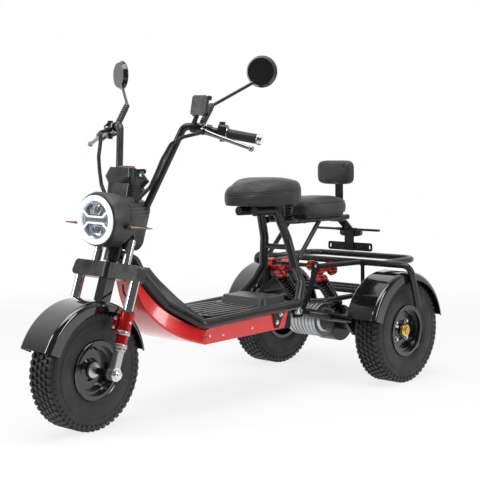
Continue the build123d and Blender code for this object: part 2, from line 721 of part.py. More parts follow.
with BuildPart() as front_fairing:
    for origin, normal, width, depth, drop in (
        ((0, at(177), DECK_Z + 158), NECK_DIR, 2 * (NECK_HALF_W - 4), 14, RAIL_R + 8),
        ((0, at(240), DECK_Z + 82), NECK_DIR, 2 * (NECK_HALF_W + 8), 44, RAIL_R + 25),
        ((0, at(DECK_FRONT + 6), DECK_Z - SKIRT_H), (0, 1, 0), 2 * (DECK_HALF_W - 2), SKIRT_H, 0),
    ):
        with BuildSketch(Plane(origin=origin, x_dir=(1, 0, 0), z_dir=normal)):
            with Locations((0, drop)):
                RectangleRounded(width, depth, 6)
    loft()
finish(front_fairing, "front_fairing")
export_step(front_fairing.part, "parts/front_fairing.step")

TUB_FRONT = DECK_FRONT + 30
TUB_REAR = DECK_REAR - 20
TUB_MID = at((TUB_FRONT + TUB_REAR) / 2)
TUB_LEN = TUB_REAR - TUB_FRONT
TUB_TOP = DECK_Z - 24
TUB_LOW = TUB_TOP - TUB_DEPTH
TUB_W = 2 * (DECK_HALF_W - 7)

with BuildPart() as floor_tub:
    with BuildSketch(Plane.XY.offset(TUB_LOW)):
        with Locations((0, TUB_MID)):
            RectangleRounded(TUB_W, TUB_LEN, 8)
    extrude(amount=TUB_DEPTH)
    with BuildSketch(Plane.XY.offset(TUB_LOW + TUB_WALL)):
        with Locations((0, TUB_MID)):
            RectangleRounded(TUB_W - 2 * TUB_WALL, TUB_LEN - 2 * TUB_WALL, 5)
    extrude(amount=TUB_DEPTH, mode=Mode.SUBTRACT)
finish(floor_tub, "floor_tub")
export_step(floor_tub.part, "parts/floor_tub.step")

with BuildPart() as battery:
    with BuildSketch(Plane.XY.offset(TUB_LOW + TUB_WALL + SOFT_GAP)):
        with Locations((0, TUB_MID)):
            RectangleRounded(TUB_W - 60, TUB_LEN - 70, 6)
    extrude(amount=TUB_DEPTH - 8)
finish(battery, "battery")
export_step(battery.part, "parts/battery.step")

SKIRT_REAR = DECK_REAR - 40
SKIRT_TOP = DECK_Z - 18.6
RAIL_SLOPE = RAIL_RISE / (RAIL_REAR - DECK_FRONT - 30)

with BuildPart() as side_skirts:
    for sign in (-1, 1):
        with BuildSketch(Plane.YZ.offset(sign * (TUB_W / 2 + SOFT_GAP))) as panel:
            with BuildLine():
                Polyline(
                    (at(DECK_FRONT + 7), SKIRT_TOP - 5.4), (at(DECK_FRONT + 20), SKIRT_TOP - 2.4), (at(DECK_FRONT + 32), SKIRT_TOP),
                    (at(SKIRT_REAR), SKIRT_TOP + (SKIRT_REAR - DECK_FRONT - 30) * RAIL_SLOPE), (at(SKIRT_REAR - 20), TUB_LOW + 4),
                    (at(DECK_FRONT + 7), TUB_LOW - 2), close=True,
                )
            make_face()
        extrude(panel.sketch, amount=3 * sign)
finish(side_skirts, "side_skirts")
export_step(side_skirts.part, "parts/side_skirts.step")

HINGE_Y = at(DECK_FRONT + 34)
HINGE_Z = DECK_Z + 10
LID_TOP = DECK_Z + 14
LID_WALL = 3
LID_MID = (HINGE_Y + 6 + at(DECK_REAR)) / 2
LID_LEN = at(DECK_REAR) - HINGE_Y - 6

with BuildPart() as floor_lid:
    with BuildSketch(Plane.XY.offset(TUB_TOP + SOFT_GAP)):
        with Locations((0, LID_MID)):
            RectangleRounded(INNER_W, LID_LEN, 10)
    extrude(amount=LID_TOP - TUB_TOP - SOFT_GAP)
    with BuildSketch(Plane.XY.offset(TUB_TOP)):
        with Locations((0, LID_MID)):
            RectangleRounded(INNER_W - 2 * LID_WALL, LID_LEN - 2 * LID_WALL, 7)
    extrude(amount=LID_TOP - TUB_TOP - LID_WALL - 1, mode=Mode.SUBTRACT)
    with BuildSketch(Plane.XY.offset(LID_TOP)):
        with Locations((0, at(DECK_REAR - 66))):
            RectangleRounded(INNER_W - 30, 120, 20)
    extrude(amount=22, taper=18)
    with BuildSketch(Plane.XY.offset(LID_TOP)):
        with Locations(*[(rib * 30, at(DECK_FRONT + 165)) for rib in range(-3, 4)]):
            RectangleRounded(14, 210, 5)
    extrude(amount=3)
    for sign in (-1, 1):
        with BuildSketch(Plane(origin=(sign * 30, HINGE_Y, HINGE_Z), x_dir=(0, 1, 0), z_dir=(1, 0, 0))) as knuckle:
            Circle(6)
            with Locations((5, 0)):
                Rectangle(10, 8)
            Circle(3 + RUNNING_FIT, mode=Mode.SUBTRACT)
        extrude(knuckle.sketch, amount=50 * sign)
finish(floor_lid, "floor_lid")
export_step(floor_lid.part, "parts/floor_lid.step")

with BuildPart() as lid_hinge:
    with BuildSketch(Plane(origin=(-86, HINGE_Y, HINGE_Z), x_dir=(0, 1, 0), z_dir=(1, 0, 0))) as pin:
        Circle(3)
    extrude(pin.sketch, amount=172)
    for x in (-89, -25, 20, 84):
        with BuildSketch(Plane(origin=(x, HINGE_Y, HINGE_Z), x_dir=(0, 1, 0), z_dir=(1, 0, 0))) as lug:
            with Locations((-6, 0)):
                RectangleRounded(19, 11, 4)
        extrude(lug.sketch, amount=5)
finish(lid_hinge, "lid_hinge")
export_step(lid_hinge.part, "parts/lid_hinge.step")

# ---------------------------------------------------------------- seat frame and rear structure
with BuildPart() as seat_frame:
    for sign in (-1, 1):
        bent_tube(
            ((sign * DECK_HALF_W, at(RAIL_REAR), RAIL_REAR_Z), (sign * DECK_HALF_W, at(RAIL_REAR + 34), RAIL_REAR_Z + 34 * RAIL_SLOPE),
             (sign * 104, behind(-288), up(174.5)), (sign * 72, behind(-282), up(222.5)), (sign * 52, behind(-298), up(322.5)),
             (sign * SEAT_TUBE_TOP_X, behind(-334), SEAT_PLATE_Z - RAIL_R - 2),
             (sign * SEAT_TUBE_TOP_X, at(SEAT_FRONT + 90), SEAT_PLATE_Z - RAIL_R)),
            RAIL_R, 20,
        )
    straight_tube((-66, behind(-294), up(292.5)), (66, behind(-294), up(292.5)), 9)
finish(seat_frame, "seat_frame")
export_step(seat_frame.part, "parts/seat_frame.step")

BRACKET_X = 104
with BuildPart() as pivot_brackets:
    for sign in (-1, 1):
        with BuildSketch(Plane(origin=(sign * BRACKET_X, REAR_AXLE_Y, WHEEL_R), x_dir=(0, 1, 0), z_dir=(1, 0, 0))) as plate:
            with BuildLine():
                Polyline(
                    (-335, 62.5), (-288, 62.5), (-248, 122.5), (-202, 212.5), (-202, 238.5),
                    (-228, 240.5), (-252, 152.5), (-282, 118.5), (-335, 118.5), close=True,
                )
            make_face()
            fillet(plate.vertices(), 5)
        extrude(plate.sketch, amount=3 * sign)
    straight_tube((-124, behind(-330), up(110.5)), (124, behind(-330), up(110.5)), 8)
    add(seat_frame.part, mode=Mode.SUBTRACT)
    straight_tube((-BRACKET_X, at(PIVOT_STATION), PIVOT_Z), (BRACKET_X, at(PIVOT_STATION), PIVOT_Z), 8)
    straight_tube((-BRACKET_X, at(SHOCK_TOP_STATION), SHOCK_TOP_Z), (BRACKET_X, at(SHOCK_TOP_STATION), SHOCK_TOP_Z), 7)
finish(pivot_brackets, "pivot_brackets")
export_step(pivot_brackets.part, "parts/pivot_brackets.step")

SHOCK_FOOT_RISE = 58.5
SHOCK_FOOT_BACK = -70
with BuildPart() as swing_arm:
    straight_tube((-98, at(PIVOT_STATION), PIVOT_Z), (98, at(PIVOT_STATION), PIVOT_Z), 17)
    for sign in (-1, 1):
        bent_tube(
            ((sign * 78, at(PIVOT_STATION + 4), PIVOT_Z), (sign * 78, behind(-230), up(66.5)), (sign * ARM_X, behind(-160), up(48.5)),
             (sign * ARM_X, behind(-54), up(26))),
            15, 30,
        )
        eye_pin = Vector(sign * 112, behind(SHOCK_FOOT_BACK), up(SHOCK_FOOT_RISE))
        straight_tube(eye_pin - Vector(sign * 36, 0, 0), eye_pin, 7)
        straight_tube(eye_pin - Vector(sign * 4, 0, 24), eye_pin + Vector(-sign * 4, 0, 4), 5)
        with BuildSketch(Plane(origin=(sign * ARM_X - 5, REAR_AXLE_Y, WHEEL_R), x_dir=(0, 1, 0), z_dir=(1, 0, 0))) as dropout:
            with BuildLine():
                Polyline((-66, 8), (-66, 44), (-20, 62), (36, 28), (36, -34), (-30, -34), close=True)
            make_face()
            fillet(dropout.vertices(), 6)
            Circle(AXLE_TUBE_R, mode=Mode.SUBTRACT)
        extrude(dropout.sketch, amount=10)
    with BuildSketch(across(-BRACKET_X, PIVOT_STATION, PIVOT_Z)) as bore:
        Circle(8)
    extrude(bore.sketch, amount=2 * BRACKET_X, mode=Mode.SUBTRACT)
finish(swing_arm, "swing_arm")
export_step(swing_arm.part, "parts/swing_arm.step")

HUB_IN = RIM_W / 2 - 8
GEARBOX_R = 64
with BuildPart() as rear_axle:
    half = REAR_WHEEL_X - HUB_IN - 5
    with BuildSketch(across(-half, WHEELBASE, WHEEL_R)) as tube:
        Circle(AXLE_TUBE_R)
    extrude(tube.sketch, amount=2 * half)
    stub = REAR_WHEEL_X + RIM_W / 2 - 4
    with BuildSketch(across(-stub, WHEELBASE, WHEEL_R)) as spindle:
        Circle(AXLE_R)
    extrude(spindle.sketch, amount=2 * stub)
    with BuildSketch(across(-34, WHEELBASE, WHEEL_R)) as gearbox:
        Circle(GEARBOX_R)
    extrude(gearbox.sketch, amount=76)
    with BuildSketch(across(-34, WHEELBASE, WHEEL_R)) as cover:
        Circle(GEARBOX_R - 14)
    extrude(cover.sketch, amount=-9, taper=30)
finish(rear_axle, "rear_axle")
export_step(rear_axle.part, "parts/rear_axle.step")

MOTOR_STATION = WHEELBASE - 121.2
MOTOR_R = 56
with BuildPart() as motor:
    with BuildSketch(across(-62, MOTOR_STATION, up(28))) as can:
        Circle(MOTOR_R)
    extrude(can.sketch, amount=126)
    for fin in range(7):
        with BuildSketch(across(-50 + 16 * fin, MOTOR_STATION, up(28))) as ring:
            Circle(MOTOR_R + 4)
        extrude(ring.sketch, amount=6)
    with BuildSketch(across(64, MOTOR_STATION, up(28))) as end_bell:
        Circle(MOTOR_R - 14)
    extrude(end_bell.sketch, amount=8, taper=35)
finish(motor, "motor")
export_step(motor.part, "parts/motor.step")

SPRING_R = 19
SPRING_WIRE = 3.5
for side, sign in (("left", 1), ("right", -1)):
    top = Vector(sign * SHOCK_X, at(SHOCK_TOP_STATION), SHOCK_TOP_Z)
    low = Vector(sign * SHOCK_X, behind(SHOCK_FOOT_BACK), up(SHOCK_FOOT_RISE))
    run = (low - top).normalized()
    aside = Vector(sign * 11, 55, 20)
    with BuildPart() as shock:
        straight_tube(top + run * 16, low - run * 16, 9)
        straight_tube(top + run * 26, top + run * 70, 18)
        straight_tube(top + run * 70, top + run * 76, 24)
        straight_tube(top + run * 76, low - run * 66, 13)
        straight_tube(low - run * 34, low - run * 28, 24)
        for eye in (top, low):
            with BuildSketch(Plane(origin=eye - Vector(11, 0, 0), x_dir=(0, 1, 0), z_dir=(1, 0, 0))) as ring:
                Circle(17)
                Circle(7 + RUNNING_FIT, mode=Mode.SUBTRACT)
            extrude(ring.sketch, amount=22)
        straight_tube(top + run * 28 + aside, top + run * 66 + aside, 17)
        straight_tube(top + run * 34 + aside, top + run * 40 + aside, 19)
        straight_tube(top + run * 54 + aside, top + run * 60 + aside, 19)
        straight_tube(top + run * 40, top + run * 40 + aside, 9)
    finish(shock, f"shock_{side}")
    export_step(shock.part, f"parts/shock_{side}.step")

    with BuildPart() as spring:
        coil(top + run * (76 + SPRING_WIRE + SOFT_GAP), low - run * (34 + SPRING_WIRE + SOFT_GAP), SPRING_R, SPRING_WIRE, 12)
    finish(spring, f"spring_{side}")
    export_step(spring.part, f"parts/spring_{side}.step")

REST_TUBE_Z = REAR_SEAT_Z - 18
with BuildPart() as rear_seat_frame:
    for sign in (-1, 1):
        bent_tube(
            ((sign * 43, behind(-296), REST_TUBE_Z), (sign * 62, behind(-260), REST_TUBE_Z), (sign * 62, behind(14), REST_TUBE_Z)), 9, 30,
        )
        straight_tube((sign * 66, behind(-149), REST_TUBE_Z - 6), (sign * 71, behind(-263), up(252.5)), 8)
    for distance in (-220, 6):
        straight_tube((-62, behind(distance), REST_TUBE_Z), (62, behind(distance), REST_TUBE_Z), 8)
    with BuildSketch(Plane.XY.offset(REAR_SEAT_Z - 11)):
        with Locations((0, at((REAR_SEAT_FRONT + REAR_SEAT_REAR) / 2))):
            RectangleRounded(150, REAR_SEAT_REAR - REAR_SEAT_FRONT - 40, 10)
    extrude(amount=11 - SOFT_GAP)
finish(rear_seat_frame, "rear_seat_frame")
export_step(rear_seat_frame.part, "parts/rear_seat_frame.step")

with BuildPart() as seat_bracket:
    with BuildSketch(Plane.XY.offset(SEAT_PLATE_Z)):
        with Locations((0, at(SEAT_FRONT + 160))):
            RectangleRounded(110, 130, 8)
    extrude(amount=5)
finish(seat_bracket, "seat_bracket")
export_step(seat_bracket.part, "parts/seat_bracket.step")

SEAT_SPRING_FOOT = REST_TUBE_Z + 9.2
with BuildPart() as seat_springs:
    for sign in (-1, 1):
        foot = Vector(sign * 46, behind(-282), SEAT_SPRING_FOOT)
        top = Vector(foot.X, foot.Y, SEAT_BASE_Z - SOFT_GAP)
        straight_tube(foot, foot + Vector(0, 0, 5), 17)
        straight_tube(top - Vector(0, 0, 5), top, 17)
        coil(foot + Vector(0, 0, 5), top - Vector(0, 0, 5), 13, 3, 9)
finish(seat_springs, "seat_springs")
export_step(seat_springs.part, "parts/seat_springs.step")


def saddle_plan(z, inset):
    """Plan of the saddle, narrow in front and broad behind, drawn in from its edge."""
    front, rear, half = SEAT_FRONT + inset, SEAT_REAR - inset, SEAT_W / 2 - inset
    with BuildSketch(Plane.XY.offset(z)) as plan:
        with BuildLine():
            Spline(
                (0, at(front)), (0.43 * half, at(front + 55)), (0.8 * half, at(front + 115)), (half, at(rear - 80)),
                (0.87 * half, at(rear - 14)), (0, at(rear)), tangents=((1, 0), (-1, 0)),
            )
            Line((0, at(rear)), (0, at(front)))
        make_face()
        mirror(about=Plane.YZ)
    return plan.sketch


with BuildPart() as main_seat:
    layers = ((0, 8), (24, 0), (SEAT_H - 20, 2), (SEAT_H, 20))
    loft([saddle_plan(SEAT_BASE_Z + rise, inset) for rise, inset in layers], ruled=True)
    brow = Plane(origin=(0, at(SEAT_REAR - 110), SEAT_BASE_Z + SEAT_H), x_dir=(1, 0, 0), z_dir=(0, -0.16, 1))
    split(bisect_by=brow, keep=Keep.BOTTOM)
finish(main_seat, "main_seat")
export_step(main_seat.part, "parts/main_seat.step")

with BuildPart() as rear_seat:
    with BuildSketch(Plane.XY.offset(REAR_SEAT_Z)):
        with Locations((0, at((REAR_SEAT_FRONT + REAR_SEAT_REAR) / 2))):
            RectangleRounded(REAR_SEAT_W, REAR_SEAT_REAR - REAR_SEAT_FRONT, 40)
    extrude(amount=REAR_SEAT_H, taper=6)
    fillet(rear_seat.faces().sort_by(Axis.Z)[-1].edges(), 14)
finish(rear_seat, "rear_seat")
export_step(rear_seat.part, "parts/rear_seat.step")

POST_FOOT_Z = REST_TUBE_Z - 8
with BuildPart() as backrest_post:
    with BuildSketch(Plane.XY.offset(POST_FOOT_Z)):
        with Locations((0, at(BACKREST_STATION + 27.3))):
            RectangleRounded(34, 6, 2)
    extrude(amount=BACKREST_LOW + 60 - POST_FOOT_Z)
    with BuildSketch(Plane.XY.offset(POST_FOOT_Z)):
        with Locations((0, at(BACKREST_STATION + 10))):
            Rectangle(34, 40)
    extrude(amount=-6)
finish(backrest_post, "backrest_post")
export_step(backrest_post.part, "parts/backrest_post.step")

with BuildPart() as backrest:
    with BuildSketch(Plane.XZ.offset(-at(BACKREST_STATION - 16))):
        with Locations((0, BACKREST_LOW + BACKREST_H / 2)):
            RectangleRounded(160, BACKREST_H, 34)
    extrude(amount=-40)
    fillet(backrest.faces().sort_by(Axis.Y)[0].edges(), 12)
finish(backrest, "backrest")
export_step(backrest.part, "parts/backrest.step")

STEM_TOP_Z = POST_FOOT_Z - 6 - SOFT_GAP
PLATE_BACK = 102
PLATE_Z = up(263.5)
with BuildPart() as tail_bracket:
    with BuildSketch(Plane.YZ.offset(-20)) as web:
        with BuildLine():
            Polyline(
                (behind(10), STEM_TOP_Z), (behind(58), STEM_TOP_Z), (behind(PLATE_BACK), up(326.5)), (behind(PLATE_BACK), PLATE_Z - 15),
                (behind(PLATE_BACK - 5), PLATE_Z - 15), (behind(PLATE_BACK - 5), up(323.5)), (behind(54), STEM_TOP_Z - 5),
                (behind(10), STEM_TOP_Z - 5), close=True,
            )
        make_face()
    extrude(web.sketch, amount=40)
    with BuildSketch(Plane.XZ.offset(-behind(PLATE_BACK))) as bar:
        with Locations((0, PLATE_Z)):
            RectangleRounded(202, 30, 8)
        with Locations((-PLATE_BOLTS / 2, PLATE_Z), (PLATE_BOLTS / 2, PLATE_Z)):
            Circle(PLATE_BOLT_R, mode=Mode.SUBTRACT)
        with Locations((-34, PLATE_Z), (34, PLATE_Z)):
            Circle(PLATE_BOLT_R, mode=Mode.SUBTRACT)
        with Locations((-90, PLATE_Z), (90, PLATE_Z)):
            SlotOverall(14, 7, rotation=90, mode=Mode.SUBTRACT)
    extrude(bar.sketch, amount=-3)
finish(tail_bracket, "tail_bracket")
export_step(tail_bracket.part, "parts/tail_bracket.step")

with BuildPart() as tail_lamp:
    with BuildSketch(Plane.XZ.offset(-behind(PLATE_BACK + SOFT_GAP))) as lamp:
        with Locations((0, up(314.5))):
            RectangleRounded(90, 26, 10)
    extrude(lamp.sketch, amount=-18)
finish(tail_lamp, "tail_lamp")
export_step(tail_lamp.part, "parts/tail_lamp.step")

with BuildPart() as rear_signals:
    for sign in (-1, 1):
        with BuildSketch(Plane(origin=(sign * (20 + SOFT_GAP), behind(86), up(327.5)), x_dir=(0, 1, 0), z_dir=(sign, 0, 0))) as blade:
            RectangleRounded(14, 9, 4)
        extrude(blade.sketch, amount=124)
finish(rear_signals, "rear_signals")
export_step(rear_signals.part, "parts/rear_signals.step")

# ---------------------------------------------------------------- rack, shelf and rear fenders
HOOP_X = REAR_WHEEL_X + FENDER_W / 2 + RACK_TUBE_R + SOFT_GAP
HOOP_Y = behind(-22)
HOOP_FOOT = (behind(20), up(84.5))
with BuildPart() as rack:
    bent_tube(
        ((-HOOP_X, *HOOP_FOOT), (-HOOP_X, HOOP_Y, RACK_Z), (HOOP_X, HOOP_Y, RACK_Z), (HOOP_X, *HOOP_FOOT)), RACK_TUBE_R, 30,
    )
    bent_tube(
        ((-RACK_W / 2, HOOP_Y, RACK_Z), (-RACK_W / 2, at(RACK_REAR), RACK_Z), (RACK_W / 2, at(RACK_REAR), RACK_Z), (RACK_W / 2, HOOP_Y, RACK_Z)),
        RACK_TUBE_R, 60,
    )
    for sign in (-1, 1):
        straight_tube((sign * 116.3, at(SHOCK_TOP_STATION), RACK_Z), (sign * 150, HOOP_Y, RACK_Z), 9)
finish(rack, "rack")
export_step(rack.part, "parts/rack.step")

SHELF_HALF = REAR_WHEEL_X - FENDER_W / 2 - SOFT_GAP
SHELF_RAIL_X = 150
with BuildPart() as shelf:
    for distance in (-30, 30, 90):
        straight_tube((-SHELF_HALF, behind(distance), SHELF_Z), (SHELF_HALF, behind(distance), SHELF_Z), 8)
    for sign in (-1, 1):
        bent_tube(
            ((sign * 118, behind(-264), SHELF_Z - 10), (sign * SHELF_RAIL_X, behind(-220), SHELF_Z - 10),
             (sign * SHELF_RAIL_X, behind(104), SHELF_Z - 10)),
            9, 24,
        )
        straight_tube((sign * SHELF_RAIL_X, behind(-16), SHELF_Z - 12), (sign * SHELF_RAIL_X, behind(-16), RACK_Z - RACK_TUBE_R), 7)
finish(shelf, "shelf")
export_step(shelf.part, "parts/shelf.step")

for side, sign in (("left", 1), ("right", -1)):
    with BuildPart() as rear_fender:
        fender_shell(sign * REAR_WHEEL_X, REAR_AXLE_Y, WHEEL_R, 17, 10)
    finish(rear_fender, f"rear_fender_{side}")
    export_step(rear_fender.part, f"parts/rear_fender_{side}.step")
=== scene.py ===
"""Dresses the electric tricycle: finishes, tyres, cushions, lamps, small trim and a plain studio.

Sizes in the mesh functions are millimetres; +X is the rider's left, +Y the rear and +Z up.
Pieces of the fork group are worked out pointing straight ahead and then turned to the parked angle.
"""
import json
import math

import bmesh
import bpy
import numpy as np
from mathutils import Matrix, Vector
from mathutils.bvhtree import BVHTree


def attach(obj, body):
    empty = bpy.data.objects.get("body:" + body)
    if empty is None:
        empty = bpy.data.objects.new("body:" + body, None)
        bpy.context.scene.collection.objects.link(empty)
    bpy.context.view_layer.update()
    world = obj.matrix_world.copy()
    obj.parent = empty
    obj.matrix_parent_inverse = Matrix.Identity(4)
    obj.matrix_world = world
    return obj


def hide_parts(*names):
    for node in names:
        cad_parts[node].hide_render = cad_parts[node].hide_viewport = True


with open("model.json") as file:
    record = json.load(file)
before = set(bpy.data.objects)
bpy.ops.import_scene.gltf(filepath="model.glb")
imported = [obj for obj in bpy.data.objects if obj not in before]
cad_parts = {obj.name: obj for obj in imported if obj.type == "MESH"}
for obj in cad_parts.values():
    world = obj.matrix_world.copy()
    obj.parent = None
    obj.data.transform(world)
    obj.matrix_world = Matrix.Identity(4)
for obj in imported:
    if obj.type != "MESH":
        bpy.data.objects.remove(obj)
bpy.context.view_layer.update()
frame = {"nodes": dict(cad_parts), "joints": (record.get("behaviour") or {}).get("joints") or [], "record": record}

bl_info = {
    "name": "Electric Tricycle Dressing",
    "version": (1, 0, 0),
    "blender": (4, 5, 0),
    "location": "3D View > Sidebar > Tricycle",
    "description": "Finishes, tyres, cushions, lamps and studio for the packed electric tricycle",
    "category": "Object",
}

NODES = frame["nodes"]
STEER = next(j for j in frame["joints"] if j["name"] == "steering")
PIVOT = 1000 * np.array(STEER["pos_m"])
LEAN = np.array(STEER["axis"]) / np.linalg.norm(STEER["axis"])
PARKED = math.radians(5.4)
FRONT_Y, REAR_Y, HUB_Z, TRACK_X = -555.0, 565.0, 177.5, 282.0
LEG_X, POST_X = 113.0, 62.0
CALIPER_X = LEG_X - 27.6
YOKE_TOP = 402
RAKE = math.radians(19)
SHARP = math.radians(38)


def at(station):
    """Y of a place so far behind the front axle."""
    return FRONT_Y + station


def behind(distance):
    """Y of a place so far behind the rear axle."""
    return REAR_Y + distance


def up(rise):
    """Height of a place so far above the rear axle."""
    return HUB_Z + rise


def on_fork(x, back, along):
    """Point given across the fork, behind the steering axis and up along it."""
    return np.array([x, at(back * math.cos(RAKE) + along * math.sin(RAKE)),
                     PIVOT[2] - back * math.sin(RAKE) + along * math.cos(RAKE)])


def parked(points):
    """Points turned about the steering axis: what lies across it turns by the parked angle."""
    arm = np.asarray(points, float) - PIVOT
    along = (arm @ LEAN)[..., None] * LEAN
    return PIVOT + along + (arm - along) * math.cos(PARKED) + np.cross(LEAN, arm) * math.sin(PARKED)


# ---------------------------------------------------------------- shapes: (points, quads, end polygons)
def skin(points, around=True, along=False, ends=True):
    """Quads over a grid of points [i, j].

    Around joins the last j to the first, along joins the last i to the first, and with ends the first and the
    last row are closed by one polygon each."""
    rows, cols = points.shape[:2]
    i, j = np.meshgrid(np.arange(rows - (not along)), np.arange(cols - (not around)), indexing="ij")
    down, side = (i + 1) % rows, (j + 1) % cols
    corners = [i * cols + j, i * cols + side, down * cols + side, down * cols + j]
    rims = []
    if ends and not along:
        rims = [list(range(cols))[::-1], list(range((rows - 1) * cols, rows * cols))]
    return points.reshape(-1, 3), np.stack(corners, -1).reshape(-1, 4), rims


def together(*shapes):
    """Several shapes as one, with their faces renumbered."""
    points, quads, rims, first = [], [], [], 0
    for p, q, r in shapes:
        points.append(p)
        quads.append(q + first)
        rims += [[k + first for k in rim] for rim in r]
        first += len(p)
    return np.concatenate(points), np.concatenate(quads), rims


def lathe(profile, steps=32, closed=False):
    """Profile of (radius, height) turned about local Z: radius times cosine and sine of the angle."""
    profile = np.asarray(profile, float)
    a = np.linspace(0, 2 * np.pi, steps, endpoint=False)
    ring = np.stack([np.cos(a), np.sin(a)], -1)
    flat = profile[:, None, :1] * ring[None]
    high = np.broadcast_to(profile[:, None, 1:], (len(profile), steps, 1))
    return skin(np.concatenate([flat, high], -1), along=closed, ends=not closed)


def prism(sides, radius, levels, turn=0.0):
    """Regular outline of so many sides at each (height, scale) level, such as a nut with chamfered ends."""
    a = np.linspace(0, 2 * np.pi, sides, endpoint=False) + turn
    ring = radius * np.stack([np.cos(a), np.sin(a), 0 * a], -1)
    return skin(np.stack([ring * (s, s, 1) + (0, 0, h) for h, s in levels]))


def superellipse(width, depth, power, steps):
    """Closed outline: half width times cosine and half depth times sine, both raised to a power."""
    a = np.linspace(0, 2 * np.pi, steps, endpoint=False)
    x = np.sign(np.cos(a)) * np.abs(np.cos(a)) ** power * width / 2
    y = np.sign(np.sin(a)) * np.abs(np.sin(a)) ** power * depth / 2
    return x, y


def slab(width, depth, levels, corner=0.3, steps=28):
    """Rounded oblong at each (height, scale) level, from square to round as corner goes from 0 to 1."""
    x, y = superellipse(width, depth, 0.15 + 0.85 * corner, steps)
    return skin(np.stack([np.stack([x * s, y * s, 0 * x + h], -1) for h, s in levels]))


def axes(aim, hint=(0, 0, 1)):
    """Three unit vectors as rows: across, over and aim, with across square to both hint and aim."""
    aim = np.asarray(aim, float) / np.linalg.norm(aim)
    hint = np.asarray(hint, float)
    if np.linalg.norm(np.cross(hint, aim)) < 1e-3:
        hint = np.array([1.0, 0.0, 0.0])
    across = np.cross(hint, aim)
    across /= np.linalg.norm(across)
    return np.stack([across, np.cross(aim, across), aim])


def stood(shape, origin, aim, hint=(0, 0, 1)):
    """Shape moved so that its local Z points along aim from origin."""
    points, quads, rims = shape
    return points @ axes(aim, hint) + np.asarray(origin, float), quads, rims


def turned(shape):
    """Shape of the fork group at its parked angle."""
    return parked(shape[0]), shape[1], shape[2]


def mirrored(shape):
    """Shape and its image across the vehicle, with the image's faces turned round."""
    points, quads, rims = shape
    return together(shape, (points * (-1, 1, 1), quads[:, ::-1], [rim[::-1] for rim in rims]))


def array_of(shape, turns, origins):
    """Copies of a shape: points times a 3 x 3 matrix, whose rows are where local axes go, plus an origin."""
    points, quads, rims = shape
    turns, origins = np.asarray(turns, float), np.asarray(origins, float)
    many = np.einsum("nk,ckj->cnj", points, turns) + origins[:, None]
    first = (np.arange(len(origins)) * len(points))[:, None, None]
    ends = [[k + int(f) for k in rim] for f in first.ravel() for rim in rims]
    return many.reshape(-1, 3), (quads[None] + first).reshape(-1, 4), ends


def eased(corners, count, blur):
    """Even samples along a run of corners, each averaged with its neighbours so that bends are round."""
    corners = np.asarray(corners, float)
    reach = np.concatenate([[0], np.cumsum(np.linalg.norm(np.diff(corners, axis=0), axis=1))])
    s = np.linspace(0, reach[-1], count)
    even = np.stack([np.interp(s, reach, corners[:, k]) for k in range(3)], -1)
    pad = np.concatenate([2 * even[0] - even[blur:0:-1], even, 2 * even[-1] - even[-2:-blur - 2:-1]])
    window = np.hanning(2 * blur + 3)[1:-1]
    return np.stack([np.convolve(pad[:, k], window / window.sum(), "valid") for k in range(3)], -1)


def pipe(path, radius, sides=12, ref=(0, 0, 1), closed=False):
    """Circle carried along a path: radius times cosine along one normal plus sine along the other."""
    path = np.asarray(path, float)
    if closed:
        ahead = np.roll(path, -1, 0) - np.roll(path, 1, 0)
    else:
        ahead = np.gradient(path, axis=0)
    ahead /= np.linalg.norm(ahead, axis=1)[:, None]
    side = np.cross(np.broadcast_to(np.asarray(ref, float), path.shape), ahead)
    side /= np.linalg.norm(side, axis=1)[:, None]
    over = np.cross(ahead, side)
    a = np.linspace(0, 2 * np.pi, sides, endpoint=False)
    r = np.broadcast_to(np.asarray(radius, float).reshape(-1, 1, 1), (len(path), 1, 1))
    ring = np.cos(a)[None, :, None] * side[:, None] + np.sin(a)[None, :, None] * over[:, None]
    return skin(path[:, None] + r * ring, along=closed, ends=not closed)


def plain_mesh(name, shape):
    """Mesh object from a shape in millimetres, with its faces pointing outwards."""
    points, quads, rims = shape
    mesh = bpy.data.meshes.new(name)
    mesh.from_pydata((points * 0.001).tolist(), [], quads.tolist() + rims)
    work = bmesh.new()
    work.from_mesh(mesh)
    bmesh.ops.recalc_face_normals(work, faces=work.faces)
    work.to_mesh(mesh)
    work.free()
    obj = bpy.data.objects.new(name, mesh)
    bpy.context.scene.collection.objects.link(obj)
    return obj


def made(name, shape, slot, body, replaced=()):
    """Finished piece from a shape: smooth but for its corners, in the slot's finish, riding on a body."""
    obj = plain_mesh(name, shape)
    mesh = obj.data
    mesh.polygons.foreach_set("use_smooth", [True] * len(mesh.polygons))
    mesh.set_sharp_from_angle(angle=SHARP)
    mesh.materials.append(finish_named(slot))
    if replaced:
        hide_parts(*replaced)
    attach(obj, body)
    return obj


def fork_piece(name, shape, slot, replaced=()):
    """Piece that steers, from a shape drawn pointing straight ahead."""
    return made(name, turned(shape), slot, "fork", replaced)


def fork_pair(name, shape, slot, replaced=()):
    """Piece that steers and stands on both sides, from its left half drawn pointing straight ahead."""
    return fork_piece(name, mirrored(shape), slot, replaced)


def frame_pair(name, shape, slot):
    """Piece of the frame that stands on both sides, from its left half."""
    return made(name, mirrored(shape), slot, "frame")


def surface_of(*nodes):
    """Search tree over CAD nodes, in millimetres."""
    points, faces, first = [], [], 0
    for node in nodes:
        mesh = NODES[node].data
        co = np.empty(len(mesh.vertices) * 3)
        mesh.vertices.foreach_get("co", co)
        points.append(co.reshape(-1, 3) * 1000)
        faces += [[k + first for k in p.vertices] for p in mesh.polygons]
        first += len(mesh.vertices)
    return BVHTree.FromPolygons(np.concatenate(points).tolist(), faces)


